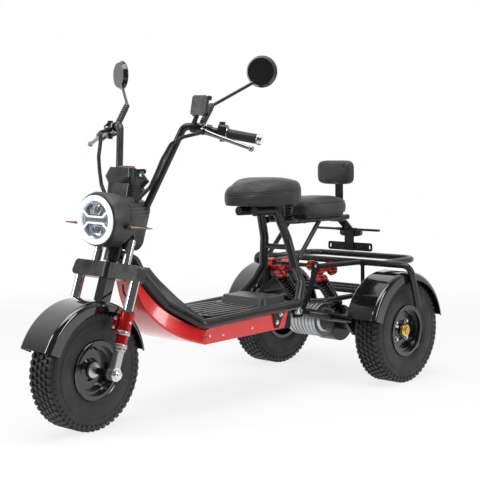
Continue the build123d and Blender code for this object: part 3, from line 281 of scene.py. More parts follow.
def laid_on(tree, points, towards):
    """Points carried along a direction until they meet a surface; a point that misses is left out."""
    hits = [tree.ray_cast(Vector(p), Vector(towards)) for p in np.asarray(points).tolist()]
    found = [(list(h[0]), list(h[1])) for h in hits if h[0] is not None]
    return np.array([f[0] for f in found]), np.array([f[1] for f in found])


def hex_bolt(radius, height):
    """Six-sided head with chamfered corners, standing on a washer."""
    washer = lathe([(radius * 1.35, 0), (radius * 1.35, 1.2), (radius, 1.3)], 24)
    head = prism(6, radius, [(1.0, 1.0), (height - 1.2, 1.0), (height, 0.84)])
    return together(washer, head)


def cap_bolt(radius, height):
    """Domed socket screw: a turned profile that rises over the shoulder and sinks into the socket."""
    profile = ((1, 0), (1, 0.45), (0.88, 0.8), (0.62, 1), (0.42, 1), (0.4, 0.35), (0.05, 0.3))
    return lathe([(radius * r, height * h) for r, h in profile], 20)


def dotted(shape, spots):
    """A shape stood at each (origin, aim)."""
    return together(*[stood(shape, origin, aim) for origin, aim in spots])


# ---------------------------------------------------------------- finishes
def shader(name):
    """New material with one Principled shader; returns material, its node tree and the shader."""
    mat = bpy.data.materials.new(name)
    mat.use_nodes = True
    tree = mat.node_tree
    return mat, tree, tree.nodes["Principled BSDF"]


def add(tree, kind, inputs=(), **settings):
    """Adds a node, sets its properties, then its sockets from values or from other nodes' outputs."""
    node = tree.nodes.new(kind)
    for key, value in settings.items():
        setattr(node, key, value)
    for key, value in dict(inputs).items():
        if isinstance(value, bpy.types.NodeSocket):
            tree.links.new(value, node.inputs[key])
        else:
            node.inputs[key].default_value = value
    return node


def place(tree):
    """Object coordinates through a Mapping node, so a pattern stays fixed to the metal or plastic."""
    where = add(tree, "ShaderNodeTexCoord").outputs["Object"]
    return add(tree, "ShaderNodeMapping", {"Vector": where}).outputs[0]


def noise(tree, where, scale, detail=3.0):
    """Grey noise between 0 and 1 at a scale in cells per metre."""
    sockets = {"Vector": where, "Scale": scale, "Detail": detail, "Roughness": 0.55}
    return add(tree, "ShaderNodeTexNoise", sockets).outputs["Fac"]


def ramp(tree, fac, low, high, start=0.3, end=0.7):
    """Two-stop colour ramp; a stop is a grey level or an RGB colour."""
    node = add(tree, "ShaderNodeValToRGB", {"Fac": fac})
    for stop, place_at, value in zip(node.color_ramp.elements, (start, end), (low, high)):
        stop.position = place_at
        stop.color = (value, value, value, 1) if isinstance(value, (int, float)) else (*value, 1)
    return node.outputs["Color"]


def mixed(tree, factor, low, high):
    """Colour between low and high."""
    return add(tree, "ShaderNodeMix", {"Factor": factor, 6: low, 7: high}, data_type="RGBA").outputs[2]


def greatest(tree, first, second):
    """The larger of two values."""
    return add(tree, "ShaderNodeMath", {0: first, 1: second}, operation="MAXIMUM").outputs[0]


def shade(colour, factor):
    """Colour made darker or lighter by a factor, up to white."""
    return tuple(min(1.0, c * factor) for c in colour)


def bumped(tree, bsdf, height, strength, distance=0.0006):
    """Lifts the shader's surface by a height pattern."""
    node = add(tree, "ShaderNodeBump", {"Height": height, "Strength": strength, "Distance": distance})
    tree.links.new(node.outputs[0], bsdf.inputs["Normal"])


def painted(name, colour, rough, fine, depth, metallic=0.0, coat=0.0, spread=0.12, rub=0.08):
    """Paint, plastic or metal: colour drifts slowly over the piece by spread, gloss changes over hand-sized
    patches by rub, and a grain of scale fine lifts the surface by depth."""
    mat, tree, bsdf = shader(name)
    where = place(tree)
    bsdf.inputs["Metallic"].default_value = metallic
    bsdf.inputs["Coat Weight"].default_value = coat
    bsdf.inputs["Coat Roughness"].default_value = 0.06
    tone = ramp(tree, noise(tree, where, 7.0), shade(colour, 1 - spread), shade(colour, 1 + spread))
    gloss = ramp(tree, noise(tree, where, 23.0), max(0.02, rough - rub), rough + rub)
    tree.links.new(tone, bsdf.inputs["Base Color"])
    tree.links.new(gloss, bsdf.inputs["Roughness"])
    bumped(tree, bsdf, noise(tree, where, fine, 2.0), depth)
    return mat


PAINTS = {
    # slot: name, colour, roughness, grain scale, grain depth, and what departs from the usual
    "frame_black": ("satin_black_frame", (0.014, 0.014, 0.015), 0.27, 900.0, 0.08, {}),
    "cover_grey": ("moulded_charcoal", (0.04, 0.04, 0.042), 0.36, 1500.0, 0.3, {}),
    "red_panel": ("gloss_red_panel", (0.74, 0.016, 0.016), 0.2, 260.0, 0.03,
        {"coat": 0.7, "spread": 0.05, "rub": 0.05}),
    "black_gloss": ("gloss_black_fender", (0.008, 0.008, 0.009), 0.09, 120.0, 0.02,
        {"coat": 1.0, "spread": 0.1, "rub": 0.03}),
    "rim_black": ("gloss_black_rim", (0.008, 0.008, 0.009), 0.14, 700.0, 0.05, {"coat": 0.8, "rub": 0.05}),
    "plastic_black": ("black_plastic", (0.011, 0.011, 0.012), 0.34, 1200.0, 0.22, {}),
    "chrome": ("polished_chrome", (0.75, 0.76, 0.78), 0.07, 400.0, 0.02,
        {"metallic": 1.0, "spread": 0.03, "rub": 0.03}),
    "reflector": ("bowl_mirror", (0.62, 0.64, 0.67), 0.14, 150.0, 0.05, {"metallic": 1.0, "rub": 0.05}),
    "red_anodised": ("red_anodised", (0.62, 0.02, 0.02), 0.24, 600.0, 0.05,
                     {"metallic": 0.7, "spread": 0.08}),
    "alloy": ("cast_alloy", (0.55, 0.56, 0.57), 0.36, 420.0, 0.3, {"metallic": 0.9}),
    "steel": ("zinc_steel", (0.3, 0.3, 0.31), 0.26, 800.0, 0.1, {"metallic": 1.0}),
    "bright": ("bright_fastener", (0.8, 0.8, 0.82), 0.2, 900.0, 0.08, {"metallic": 0.9, "spread": 0.06}),
    "brass": ("brass_cover", (0.78, 0.5, 0.13), 0.3, 500.0, 0.12, {"metallic": 0.9}),
    "tyre_black": ("tyre_rubber", (0.014, 0.014, 0.0145), 0.5, 420.0, 0.35, {"spread": 0.3, "rub": 0.12}),
    "grip_rubber": ("grip_rubber", (0.02, 0.02, 0.021), 0.5, 900.0, 0.3, {}),
    "display_black": ("dark_gloss_cover", (0.014, 0.0145, 0.016), 0.26, 300.0, 0.05, {"coat": 0.2}),
    "smoke": ("smoked_screen", (0.008, 0.009, 0.01), 0.05, 80.0, 0.01, {"coat": 1.0, "rub": 0.02}),
    # seam: near-black painted shade, standing for the shade inside moulded seams and panel gaps
    "seam": ("shadow_seam", (0.008, 0.008, 0.008), 0.7, 900.0, 0.1, {}),
    "amber": ("amber_lens", (0.16, 0.062, 0.018), 0.16, 200.0, 0.05, {"coat": 0.8}),
    "red_lens": ("red_lens", (0.5, 0.012, 0.012), 0.18, 200.0, 0.05, {"coat": 0.5}),
    "weld": ("weld_bead", (0.014, 0.014, 0.015), 0.3, 260.0, 0.8, {}),
    "mirror": ("mirror_glass", (0.8, 0.82, 0.84), 0.03, 60.0, 0.01,
        {"metallic": 1.0, "spread": 0.02, "rub": 0.01}),
    "coil": ("black_coil", (0.01, 0.01, 0.011), 0.24, 600.0, 0.06, {"coat": 0.3}),
    "gloss_plastic": ("gloss_black_shell", (0.009, 0.009, 0.01), 0.16, 500.0, 0.03, {"coat": 0.6}),
    "stitch": ("waxed_thread", (0.05, 0.05, 0.052), 0.6, 2400.0, 0.6, {"spread": 0.2}),
}


def finish_leather():
    """Vinyl with cell-shaped grain: the distance between Voronoi borders gives the creases, noise the tone
    and wear."""
    mat, tree, bsdf = shader("grained_vinyl")
    where = place(tree)
    cells = add(tree, "ShaderNodeTexVoronoi", {"Vector": where, "Scale": 620.0},
                feature="DISTANCE_TO_EDGE").outputs[0]
    tone = ramp(tree, noise(tree, where, 9.0), (0.011, 0.011, 0.0125), (0.02, 0.02, 0.022))
    tree.links.new(tone, bsdf.inputs["Base Color"])
    tree.links.new(ramp(tree, noise(tree, where, 40.0), 0.36, 0.5), bsdf.inputs["Roughness"])
    bsdf.inputs["Sheen Weight"].default_value = 0.12
    bumped(tree, bsdf, ramp(tree, cells, 0.0, 1.0, 0.0, 0.18), 0.35, 0.0005)
    return mat


HEADS_FROM, HEADS_TO = 0.347, 0.352


def finish_damper():
    """Damper body: red heads with fine bright rings above, black below, split by height with a soft step."""
    mat, tree, bsdf = shader("damper_body")
    where = place(tree)
    height = add(tree, "ShaderNodeSeparateXYZ", {"Vector": where}).outputs["Z"]
    step = {"Value": height, "From Min": HEADS_FROM, "From Max": HEADS_TO}
    band = add(tree, "ShaderNodeMapRange", step).outputs[0]
    red = ramp(tree, noise(tree, where, 9.0), (0.55, 0.02, 0.02), (0.66, 0.03, 0.03))
    black = ramp(tree, noise(tree, where, 12.0), 0.01, 0.016)
    wave = add(tree, "ShaderNodeTexWave", {"Vector": where, "Scale": 26.0},
               bands_direction="Z").outputs["Fac"]
    ringed = mixed(tree, ramp(tree, wave, 0.0, 1.0, 0.97, 0.99), red, (0.6, 0.6, 0.62, 1))
    tree.links.new(mixed(tree, band, black, ringed), bsdf.inputs["Base Color"])
    bsdf.inputs["Metallic"].default_value = 0.6
    tree.links.new(ramp(tree, noise(tree, where, 30.0), 0.18, 0.32), bsdf.inputs["Roughness"])
    bumped(tree, bsdf, noise(tree, where, 700.0, 2.0), 0.05)
    return mat


def glowing(name, dim, bright, strength):
    """Lit plastic: an even glow whose tone changes slowly round the piece."""
    mat, tree, bsdf = shader(name)
    where = place(tree)
    tree.links.new(ramp(tree, noise(tree, where, 18.0), dim, bright), bsdf.inputs["Base Color"])
    tree.links.new(ramp(tree, noise(tree, where, 30.0), 0.2, 0.3), bsdf.inputs["Roughness"])
    bsdf.inputs["Emission Color"].default_value = (*bright, 1)
    bsdf.inputs["Emission Strength"].default_value = strength
    return mat


def finish_lens():
    """Clear plastic whose gloss changes a little over the pane."""
    mat, tree, bsdf = shader("clear_lens")
    bsdf.inputs["Base Color"].default_value = (0.93, 0.95, 0.97, 1)
    bsdf.inputs["Transmission Weight"].default_value = 0.95
    bsdf.inputs["IOR"].default_value = 1.2
    tree.links.new(ramp(tree, noise(tree, place(tree), 25.0), 0.01, 0.04), bsdf.inputs["Roughness"])
    return mat


SPECIAL = {"leather_black": finish_leather, "damper": finish_damper, "lamp_lens": finish_lens}
GLOWS = {
    # slot: name, dim tone, bright tone, strength
    "halo_white": ("opal_light_guide", (0.86, 0.89, 0.97), (0.94, 0.96, 1.0), 0.4),
    "green": ("green_indicator", (0.1, 0.4, 0.3), (0.3, 0.85, 0.65), 0.5),
}
FINISH_OF_NODE = {
    "spring_left": "coil", "spring_right": "coil", "seat_springs": "coil",
    "shock_left": "damper", "shock_right": "damper",
    "mirrors": "gloss_plastic", "rear_signals": "gloss_plastic", "fork_crown": "frame_black",
}
MADE = {}


def finish_named(slot):
    """Makes each finish once and hands it out by its slot name."""
    if slot not in MADE:
        if slot in SPECIAL:
            MADE[slot] = SPECIAL[slot]()
        elif slot in GLOWS:
            MADE[slot] = glowing(*GLOWS[slot])
        else:
            *recipe, extras = PAINTS[slot]
            MADE[slot] = painted(*recipe, **extras)
    return MADE[slot]


# ---------------------------------------------------------------- sizes a user would change
class TricycleSizes(bpy.types.PropertyGroup):
    knob_rows: bpy.props.IntProperty(name="Knob rows", description="Rows of knobs across the tread",
                                     default=5, min=3, max=7)
    knob_count: bpy.props.IntProperty(name="Knobs round", description="Knobs in each row", default=54, min=24,
                                      max=80)
    grip_pitch: bpy.props.FloatProperty(
        name="Grip rib pitch", description="Distance between the ribs of a hand grip", default=0.0045,
        min=0.002, unit="LENGTH")
    loom_pitch: bpy.props.FloatProperty(
        name="Loom pitch", description="Distance between the rings of a cable loom", default=0.0045,
        min=0.002, unit="LENGTH")
    piping: bpy.props.FloatProperty(
        name="Piping radius", description="Radius of the piping sewn round a cushion", default=0.0018,
        min=0.0005, unit="LENGTH")
    swell: bpy.props.FloatProperty(
        name="Cushion swell", description="Most that the foam pushes a cushion's cover out", default=0.006,
        min=0.0, unit="LENGTH")


class StudioSettings(bpy.types.PropertyGroup):
    floor_radius: bpy.props.FloatProperty(
        name="Floor radius", description="Where the pale floor has faded out", default=3.4, min=1.0,
        unit="LENGTH")
    floor_colour: bpy.props.FloatVectorProperty(
        name="Floor colour", description="Colour of the floor and backdrop", default=(0.92, 0.92, 0.92),
        subtype="COLOR", min=0, max=1)
    key_power: bpy.props.FloatProperty(
        name="Overhead light", description="Power of the soft box above the vehicle, in watts", default=62.0,
        min=0.0, subtype="POWER")
    side_power: bpy.props.FloatProperty(
        name="Side lights", description="Power of each upright light, in watts", default=30.0, min=0.0,
        subtype="POWER")
    room: bpy.props.FloatProperty(
        name="Room level", description="How bright the room before the backdrop looks in polished surfaces",
        default=0.1, min=0.0, max=1.0)
    fill: bpy.props.FloatProperty(
        name="Fill level", description="Strength of the even light from all round", default=0.32, min=0.0,
        max=1.0)


# ---------------------------------------------------------------- wheels
HALF_CARCASS = [(43, 78), (43, 86), (46.5, 92), (49, 104), (50, 120), (50, 136), (49, 150), (47.6, 160),
                (45, 167), (40, 170.5), (20, 171.2)]
CARCASS = [(-h, r) for h, r in HALF_CARCASS] + [(0, 171.5)] + HALF_CARCASS[::-1]
TREAD_W, TREAD_R, SHOULDER_R, WALL_R = 90.0, 170.9, 161.5, 141
WALL_RIBS = 90
WHEELS = (
    # name, body, node of its tyre, middle, outer sides
    ("front", "front_wheel", "front_tyre", np.array([0, FRONT_Y, PIVOT[2]]), (1, -1)),
    ("rear_left", "rear_wheel_left", "rear_tyre_left", np.array([TRACK_X, REAR_Y, HUB_Z]), (1,)),
    ("rear_right", "rear_wheel_right", "rear_tyre_right", np.array([-TRACK_X, REAR_Y, HUB_Z]), (-1,)),
)


def tyre(sizes, centre):
    """Rounded carcass turned about the axle with bead lines, and bands of small shapes set round it.

    Rows of square tapered knobs cross the tread, each offset by half a pitch from the next; a row of knobs
    leans out on each shoulder, and thin radial ribs stand on each side wall."""
    carcass = lathe([(r, h) for h, r in CARCASS], 120, closed=True)
    beads = [lathe([(r - 1.2, h - 1), (r, h + s * 1.1), (r + 1.2, h - 1)], 96, closed=True)
             for r, h, s in ((96, 46.8, 1), (101, 47.8, 1), (96, -46.8, -1), (101, -47.8, -1))]
    pitch = TREAD_W / sizes.knob_rows
    knob = slab(0.62 * pitch, 12.6, [(-3, 1.2), (0, 1.12), (5.4, 0.98), (6.4, 0.86)], corner=0.12, steps=12)
    rows = (np.arange(sizes.knob_rows) - (sizes.knob_rows - 1) / 2) * pitch
    step = np.arange(sizes.knob_count)
    shift = 0.5 * (np.arange(sizes.knob_rows) % 2)[:, None]
    angle = 2 * np.pi * (step[None] + shift) / sizes.knob_count
    along = np.broadcast_to(rows[:, None], angle.shape).ravel()
    tread = array_of(knob, rim_turns(angle.ravel()), rim_places(angle.ravel(), TREAD_R, along))
    shoulder = slab(11, 12, [(-3, 1.1), (3.4, 0.92), (4.2, 0.82)], corner=0.12, steps=12)
    rib = slab(1.2, 12, [(-1, 1.0), (0.9, 0.8)], corner=0.1, steps=8)
    knob_at = 2 * np.pi * (step + 0.5 * (sizes.knob_rows % 2)) / sizes.knob_count
    rib_at = np.linspace(0, 2 * np.pi, WALL_RIBS, endpoint=False)
    sides = []
    for sign in (-1, 1):
        edge = rim_places(knob_at, SHOULDER_R, np.full(len(knob_at), sign * 46.2))
        wall = rim_places(rib_at, WALL_R, np.full(WALL_RIBS, sign * 49.8))
        sides += [array_of(shoulder, rim_turns(knob_at, sign * 1.12), edge),
                  array_of(rib, rim_turns(rib_at, sign * np.pi / 2), wall)]
    points, quads, rims = together(carcass, *beads, tread, *sides)
    return points[:, [2, 0, 1]] + centre, quads, rims


def rim_turns(angle, lean=0.0):
    """Matrices that stand a shape outwards at each angle round local Z, leaned towards local Z by one angle.

    Their rows are where the shape's X (along the axle), Y (round the rim) and Z (outwards) go."""
    out = np.stack([np.cos(angle), np.sin(angle), 0 * angle], -1)
    axle = np.broadcast_to([0.0, 0.0, 1.0], out.shape)
    aim = out * math.cos(lean) + axle * math.sin(lean)
    width = axle * math.cos(lean) - out * math.sin(lean)
    return np.stack([width, np.cross(aim, width), aim], 1)


def rim_places(angle, radius, along):
    """Points round local Z: radius times cosine and sine of the angle, and a place along the axle."""
    return np.stack([radius * np.cos(angle), radius * np.sin(angle), along], -1)


def on_wheel(shape, centre, out):
    """Shape drawn about local Z set on an axle, with local Z pointing to the wheel's outer side."""
    points, quads, rims = shape
    return points[:, [2, 0, 1]] * (out, 1, 1) + centre, quads, rims


def posed(name, shape):
    """The front wheel's shapes are turned to the parked angle, and the rear wheels' are left as they are."""
    return turned(shape) if name == "front" else shape


class TRICYCLE_OT_tyres(bpy.types.Operator):
    """Knobbly tyres with bead lines and ribbed side walls"""
    bl_idname = "tricycle.tyres"
    bl_label = "Tyres"

    def execute(self, context):
        for name, body, node, centre, _ in WHEELS:
            shape = posed(name, tyre(context.scene.tricycle_sizes, centre))
            made(f"{name}_knobbly_tyre", shape, "tyre_black", body, [node])
        return {"FINISHED"}


class TRICYCLE_OT_wheel_fittings(bpy.types.Operator):
    """Hub covers, wheel nuts, rim lips, valves and axle nuts"""
    bl_idname = "tricycle.wheel_fittings"
    bl_label = "Wheel fittings"

    def execute(self, context):
        spots = rim_places(np.radians([45, 135, 225, 315]), 40.0, np.full(4, 17.0))
        nuts = array_of(hex_bolt(6.2, 8), np.broadcast_to(np.eye(3), (4, 3, 3)), spots)
        lip = lathe([(84.2, 46.4), (86.2, 46.8), (87.6, 48.2), (86.6, 49.4), (84.6, 48.6)], 96, closed=True)
        cover = lathe([(22.5, 30.6), (22.5, 37.5), (20.5, 40.8), (12.0, 43.2), (11.0, 41.8), (10.6, 31.0)],
                      48)
        boss = lathe([(23, 30.6), (23, 36), (18, 40), (12, 41), (10.6, 41), (10.6, 31.0)], 48)
        cap = prism(6, 11.6, [(40.5, 0.96), (42, 1.0), (46.2, 1.0), (47.6, 0.86)])
        stem = lathe([(4, 0), (4, 4), (2.6, 5), (2.6, 18), (3.2, 19), (3.2, 24), (2.4, 25)], 16)
        valve = stood(stem, (0, 73, 26), (0, -0.5, 0.86))
        front = [("rim_lip", lip, "rim_black"), ("hub_boss", boss, "alloy")]
        rear = [("rim_lip", lip, "rim_black"), ("wheel_nuts", nuts, "bright"),
                ("hub_cover", together(cover, cap), "brass")]
        for name, body, _, centre, outs in WHEELS:
            for out in outs:
                side = "left" if out > 0 else "right"
                for kind, shape, slot in front if name == "front" else rear:
                    made(f"{name}_{kind}_{side}", posed(name, on_wheel(shape, centre, out)), slot, body)
            made(f"{name}_valve", posed(name, on_wheel(valve, centre, outs[0])), "plastic_black", body)
        end = hex_bolt(14.5, 11)
        stub = lathe([(8, 10), (8, 14.6), (6.5, 15.6)], 24)
        axle_ends = [stood(together(end, stub), (s * (LEG_X + 11), FRONT_Y, PIVOT[2]), (s, 0, 0))
                     for s in (-1, 1)]
        fork_piece("front_axle_nuts", together(*axle_ends), "bright")
        return {"FINISHED"}


# ---------------------------------------------------------------- lamp, display and handlebar
LAMP = np.array([0, at(39), up(429.5)])
TOP_PLANE = (np.array([0, at(117), up(497)]), np.array([0, 0.21, 1.0]))
BAR_START, BAR_STOP = np.array([132, at(276), up(700.5)]), np.array([329, at(384.7), up(661.7)])
BAR_DIR = (BAR_STOP - BAR_START) / np.linalg.norm(BAR_STOP - BAR_START)
BAR_LEN = float(np.linalg.norm(BAR_STOP - BAR_START))
GRIP_FROM = BAR_LEN - 98


def on_bar(distance):
    """Point on the left handlebar so far from the top of its riser."""
    return BAR_START + BAR_DIR * distance


class TRICYCLE_OT_headlamp(bpy.types.Operator):
    """Bezel round the light ring, projector domes, the signals' dark sleeves and the tail lamp's housing"""
    bl_idname = "tricycle.headlamp"
    bl_label = "Headlamp"

    def execute(self, context):
        front = (0, -1, 0)
        bezel = lathe([(71.4, -7.6), (71.4, -3.6), (73.6, -2.2), (76.8, -4.0), (77.8, -7.2)], 96, closed=True)
        fork_piece("headlamp_bezel", stood(bezel, LAMP, front), "plastic_black")
        dome = lathe([(10.2, -12.4), (9.8, -10.4), (7.8, -8.9), (4.4, -8.2), (0.4, -8.1)], 32)
        collar = lathe([(13.4, -20), (13.0, -13.6), (10.4, -12.2), (10.2, -13.4), (10.6, -20)], 40,
                       closed=True)
        eyes = [LAMP + (0, 0, s * 29) for s in (-1, 1)]
        fork_piece("projector_domes", together(*[stood(dome, e, front) for e in eyes]), "smoke")
        fork_piece("projector_collars", together(*[stood(collar, e, front) for e in eyes]), "chrome")
        sleeve = slab(28.4, 14.2, [(-1, 1.0), (16, 1.0), (21, 0.9), (22, 0.8)], corner=0.5)
        root = stood(sleeve, (83.4, at(90), up(411.5)), (1, 0, 0))
        fork_pair("front_signal_sleeves", root, "plastic_black")
        sleeve = slab(16.2, 11.2, [(-1, 1.0), (20, 1.0), (26, 0.86)], corner=0.5)
        rear = stood(sleeve, (20.6, behind(86), up(327.5)), (1, 0, 0))
        frame_pair("rear_signal_sleeves", rear, "plastic_black")
        housing = slab(93, 29, [(0.2, 0.97), (0.8, 1.0), (11, 1.0), (12.6, 0.985)], corner=0.4, steps=48)
        made("tail_lamp_housing", stood(housing, (0, behind(102), up(314.5)), (0, 1, 0)), "plastic_black",
             "frame")
        return {"FINISHED"}


class TRICYCLE_OT_display(bpy.types.Operator):
    """Smoked screen, side window, ringed green light, and the key barrel at the pod's foot"""
    bl_idname = "tricycle.display"
    bl_label = "Display pod"

    def execute(self, context):
        tree = surface_of("display_pod")
        origin, normal = TOP_PLANE
        centre = origin + normal / np.linalg.norm(normal) * 70 + (0, 38, 0)
        made("display_screen", pod_patch(tree, centre, (0, 60, 34), 41, 12.5, 0.9), "smoke", "fork")
        made("pod_side_window", pod_patch(tree, centre, (60, 4, -1), 25, 9, 0.9), "smoke", "fork")
        light, _ = laid_on(tree, parked([centre + (80, -2, -10)]),
                           parked(centre + (-1, 0, 0)) - parked(centre))
        if len(light):
            out = parked(centre + (1, 0, 0)) - parked(centre)
            lamp = lathe([(4.6, -1), (4.6, 0.8), (3.4, 1.7), (0.3, 2.0)], 24)
            ring = lathe([(5.9, -1), (5.9, 1.2), (5.2, 1.8), (4.5, 1.0), (4.5, -1)], 24, closed=True)
            made("ready_light", stood(lamp, light[0], out), "green", "fork")
            made("ready_light_ring", stood(ring, light[0], out), "steel", "fork")
        barrel = lathe([(12, -6), (12, 15), (10.8, 17), (8.6, 17), (8.2, 14.5), (0.4, 14.5)], 36)
        slot = slab(8, 1.6, [(14.2, 1.0), (15.2, 1.0)], corner=0.1)
        foot = origin + np.array([40, 66, 4.0])
        fork_piece("key_barrel", stood(together(barrel, slot), foot, (0.72, 0.25, 0.55)), "steel")
        return {"FINISHED"}


PATCH_REACH = 12


def pod_patch(tree, centre, aim, half_w, half_h, thick):
    """Thin rounded panel laid on the pod by a grid of rays, which start on a rounded oblong and run inwards.

    Each ray stops on the pod, or on a flat through the middle hit where it misses; the grid is then set
    off against the rays by its thickness."""
    out = np.asarray(aim, float) / np.linalg.norm(aim)
    across, over, _ = axes(out)
    u, v = np.meshgrid(np.linspace(-1, 1, 25), np.linspace(-1, 1, 13), indexing="ij")
    wide = u * half_w * np.sqrt(np.clip(1 - 0.35 * v ** 6, 0, 1))
    tall = v * half_h * np.sqrt(np.clip(1 - 0.5 * np.abs(u) ** 7, 0, 1))
    start = centre + 110 * out + wide[..., None] * across + tall[..., None] * over
    start, towards = parked(start), parked(centre - out) - parked(centre)
    middle = tree.ray_cast(Vector(start[12, 6]), Vector(towards))[0]
    hits = []
    for p in start.reshape(-1, 3):
        found = tree.ray_cast(Vector(p), Vector(towards))[0]
        flat = p + towards * float(np.dot(np.array(middle) - p, towards))
        near = found is not None and np.dot(np.array(found) - flat, towards) < PATCH_REACH
        hits.append(np.array(found) if near else flat)
    hits = np.array(hits).reshape(start.shape)
    lift = -np.asarray(towards)
    inner, outer = hits - lift * 1.5, hits + lift * thick
    rim = np.concatenate([inner[:, :1], outer, inner[:, -1:]], 1)
    return skin(rim, around=True, ends=True)


class TRICYCLE_OT_grips(bpy.types.Operator):
    """Ribbed rubber grips with bright clamp rings and end caps, clamp screws and curved brake levers"""
    bl_idname = "tricycle.grips"
    bl_label = "Grips and levers"

    def execute(self, context):
        pitch = 1000 * context.scene.tricycle_sizes.grip_pitch
        h = np.arange(GRIP_FROM + 5, BAR_LEN - 9, pitch / 6)
        r = 14.4 + 0.6 * np.clip(1.6 * np.sin(2 * np.pi * h / pitch), -1, 1)
        start = [(11.2, GRIP_FROM), (15.4, GRIP_FROM), (16.4, GRIP_FROM + 1.5), (16.4, GRIP_FROM + 4),
                 (15, GRIP_FROM + 4.6)]
        rubber = lathe(start + list(zip(r, h)) + [(14.2, BAR_LEN - 9), (11.2, BAR_LEN - 9)], 40, closed=True)
        outer = ((11.2, -9), (15.6, -9), (16.2, -8), (16.2, -1.5), (15.6, -0.6), (15.0, 0), (16.5, 0.5),
                 (16.5, 4.5), (15.0, 6), (0.5, 6))
        clamp = lathe([(r, BAR_LEN + h) for r, h in outer], 40)
        inner = ((11.2, -5), (16.2, -5), (16.8, -4), (16.8, -1), (16.2, 0), (11.2, 0))
        inner = lathe([(r, GRIP_FROM + h) for r, h in inner], 40, closed=True)
        aim, origin = BAR_DIR, BAR_START
        fork_pair("ribbed_grips", stood(rubber, origin, aim), "grip_rubber", ["grips"])
        fork_pair("grip_clamps", stood(together(clamp, inner), origin, aim), "chrome")
        pivot = np.array([196, at(282), up(682.5)])
        root, ball = pivot + (0, 8, 1.5), np.array([332, at(340), up(636.5)])
        s = np.linspace(0, 1, 40)[:, None]
        path = root + (ball - root) * s
        blade = pipe(path, np.interp(s[:, 0], [0, 0.06, 0.2, 0.9, 1], [9.5, 8.4, 6.6, 5.7, 5.9]), 16)
        knob = lathe([(0.5, -8.8), (4.4, -7.8), (7.6, -4.6), (8.9, 0), (7.6, 4.6), (4.4, 7.8), (0.5, 8.8)],
                     28)
        tip = stood(knob, ball, ball - root)
        fork_pair("brake_levers", together(blade, tip), "steel")
        perch = on_bar(74)
        spots = [(pivot + (0, 0, 8.5), (0, 0, 1)), (perch + (-3, -9, 13), (0, -0.6, 0.8)),
                 (perch + (-3, -12, -9), (0, -0.9, -0.4))]
        fork_pair("lever_screws", dotted(cap_bolt(4.2, 4), spots), "bright")
        return {"FINISHED"}


class TRICYCLE_OT_mirrors(bpy.types.Operator):
    """Mirror glasses in rubber rims, with rubber boots and lock nuts on the stalks"""
    bl_idname = "tricycle.mirrors"
    bl_label = "Mirrors"

    def execute(self, context):
        spot, a = np.array([289, at(443), up(860.5)]), math.radians(21)
        back = np.array([-math.sin(a), math.cos(a), 0])
        glass = lathe([(43.4, -0.8), (43.4, 0.7), (30, 0.9), (0.5, 1.0)], 64)
        rim = lathe([(43.2, -0.6), (43.2, 1.4), (45.6, 2.0), (47.0, 0.4), (47.0, -1.6)], 72, closed=True)
        fork_pair("mirror_glasses", stood(glass, spot, back), "mirror")
        fork_pair("mirror_rims", stood(rim, spot, back), "grip_rubber")
        foot, top = on_bar(47) + (0, 8, 10), np.array([175, at(350), up(762.5)])
        reach = np.linalg.norm(top - foot)
        h = np.linspace(0.1, 1, 46)
        r = 9.7 + 0.7 * np.sin(2 * np.pi * h * 9) - 2.2 * np.clip((h - 0.8) / 0.2, 0, 1) ** 2
        boot = lathe([(9.2, 0.08 * reach)] + list(zip(r, h * reach)) + [(5.0, reach + 3)], 28)
        nut = prism(6, 9.2, [(-2, 0.94), (-1, 1), (5, 1), (6, 0.9)])
        fork_pair("mirror_boots", stood(boot, foot, top - foot), "grip_rubber")
        fork_pair("mirror_lock_nuts", stood(nut, foot + (top - foot) * 0.04, top - foot), "steel")
        return {"FINISHED"}


LOOM = ((58, 146, 478), (100, 163, 522), (117, 172, 563), (131, 182, 604), (145, 204, 648), (170, 228, 668),
        (196, 252.5, 676.9), (196, 281.7, 682.45))


class TRICYCLE_OT_looms(bpy.types.Operator):
    """Ringed conduits from the nacelle to the lever perches, the caliper's hose and the motor's lead"""
    bl_idname = "tricycle.looms"
    bl_label = "Cable looms"

    def execute(self, context):
        pitch = 1000 * context.scene.tricycle_sizes.loom_pitch
        route = eased([(x, at(s), up(r)) for x, s, r in LOOM], 520, 12)
        reach = np.concatenate([[0], np.cumsum(np.linalg.norm(np.diff(route, axis=0), axis=1))])
        ring = 5.5 + 0.6 * np.clip(2 * np.sin(2 * np.pi * reach / pitch), -1, 1)
        fork_pair("ringed_looms", pipe(route, ring, 12), "plastic_black", ["cable_looms"])
        bends = ((84, 18, 166), (84, 34, 190), (74, 40, 214), (40, 40, 236), (26, 42, 262))
        hose = eased([on_fork(*bend) for bend in bends], 60, 7)
        fork_piece("caliper_hose", pipe(hose, 3.0, 10), "plastic_black")
        fork_piece("hose_union", dotted(hex_bolt(5.2, 9), [(hose[0], hose[1] - hose[0])]), "brass")
        bends = ((30, -322, 106), (26, -290, 84), (10, -240, 70), (2, -205, 68), (0, -178, 58))
        lead = eased([(x, behind(y), up(z)) for x, y, z in bends], 80, 8)
        made("motor_lead", pipe(lead, 5.0, 12), "plastic_black", "frame")
        return {"FINISHED"}


# ---------------------------------------------------------------- cushions
SEAT_BASE, SEAT_FRONT, SEAT_REAR, SEAT_HALF = up(439.5), 590.0, 850.0, 128
PILLION_BASE, PILLION_FRONT, PILLION_REAR = up(396.5), 872.0, 1112.0
REST_BACK, REST_MIDDLE = 1160, PILLION_BASE + 93 + 45


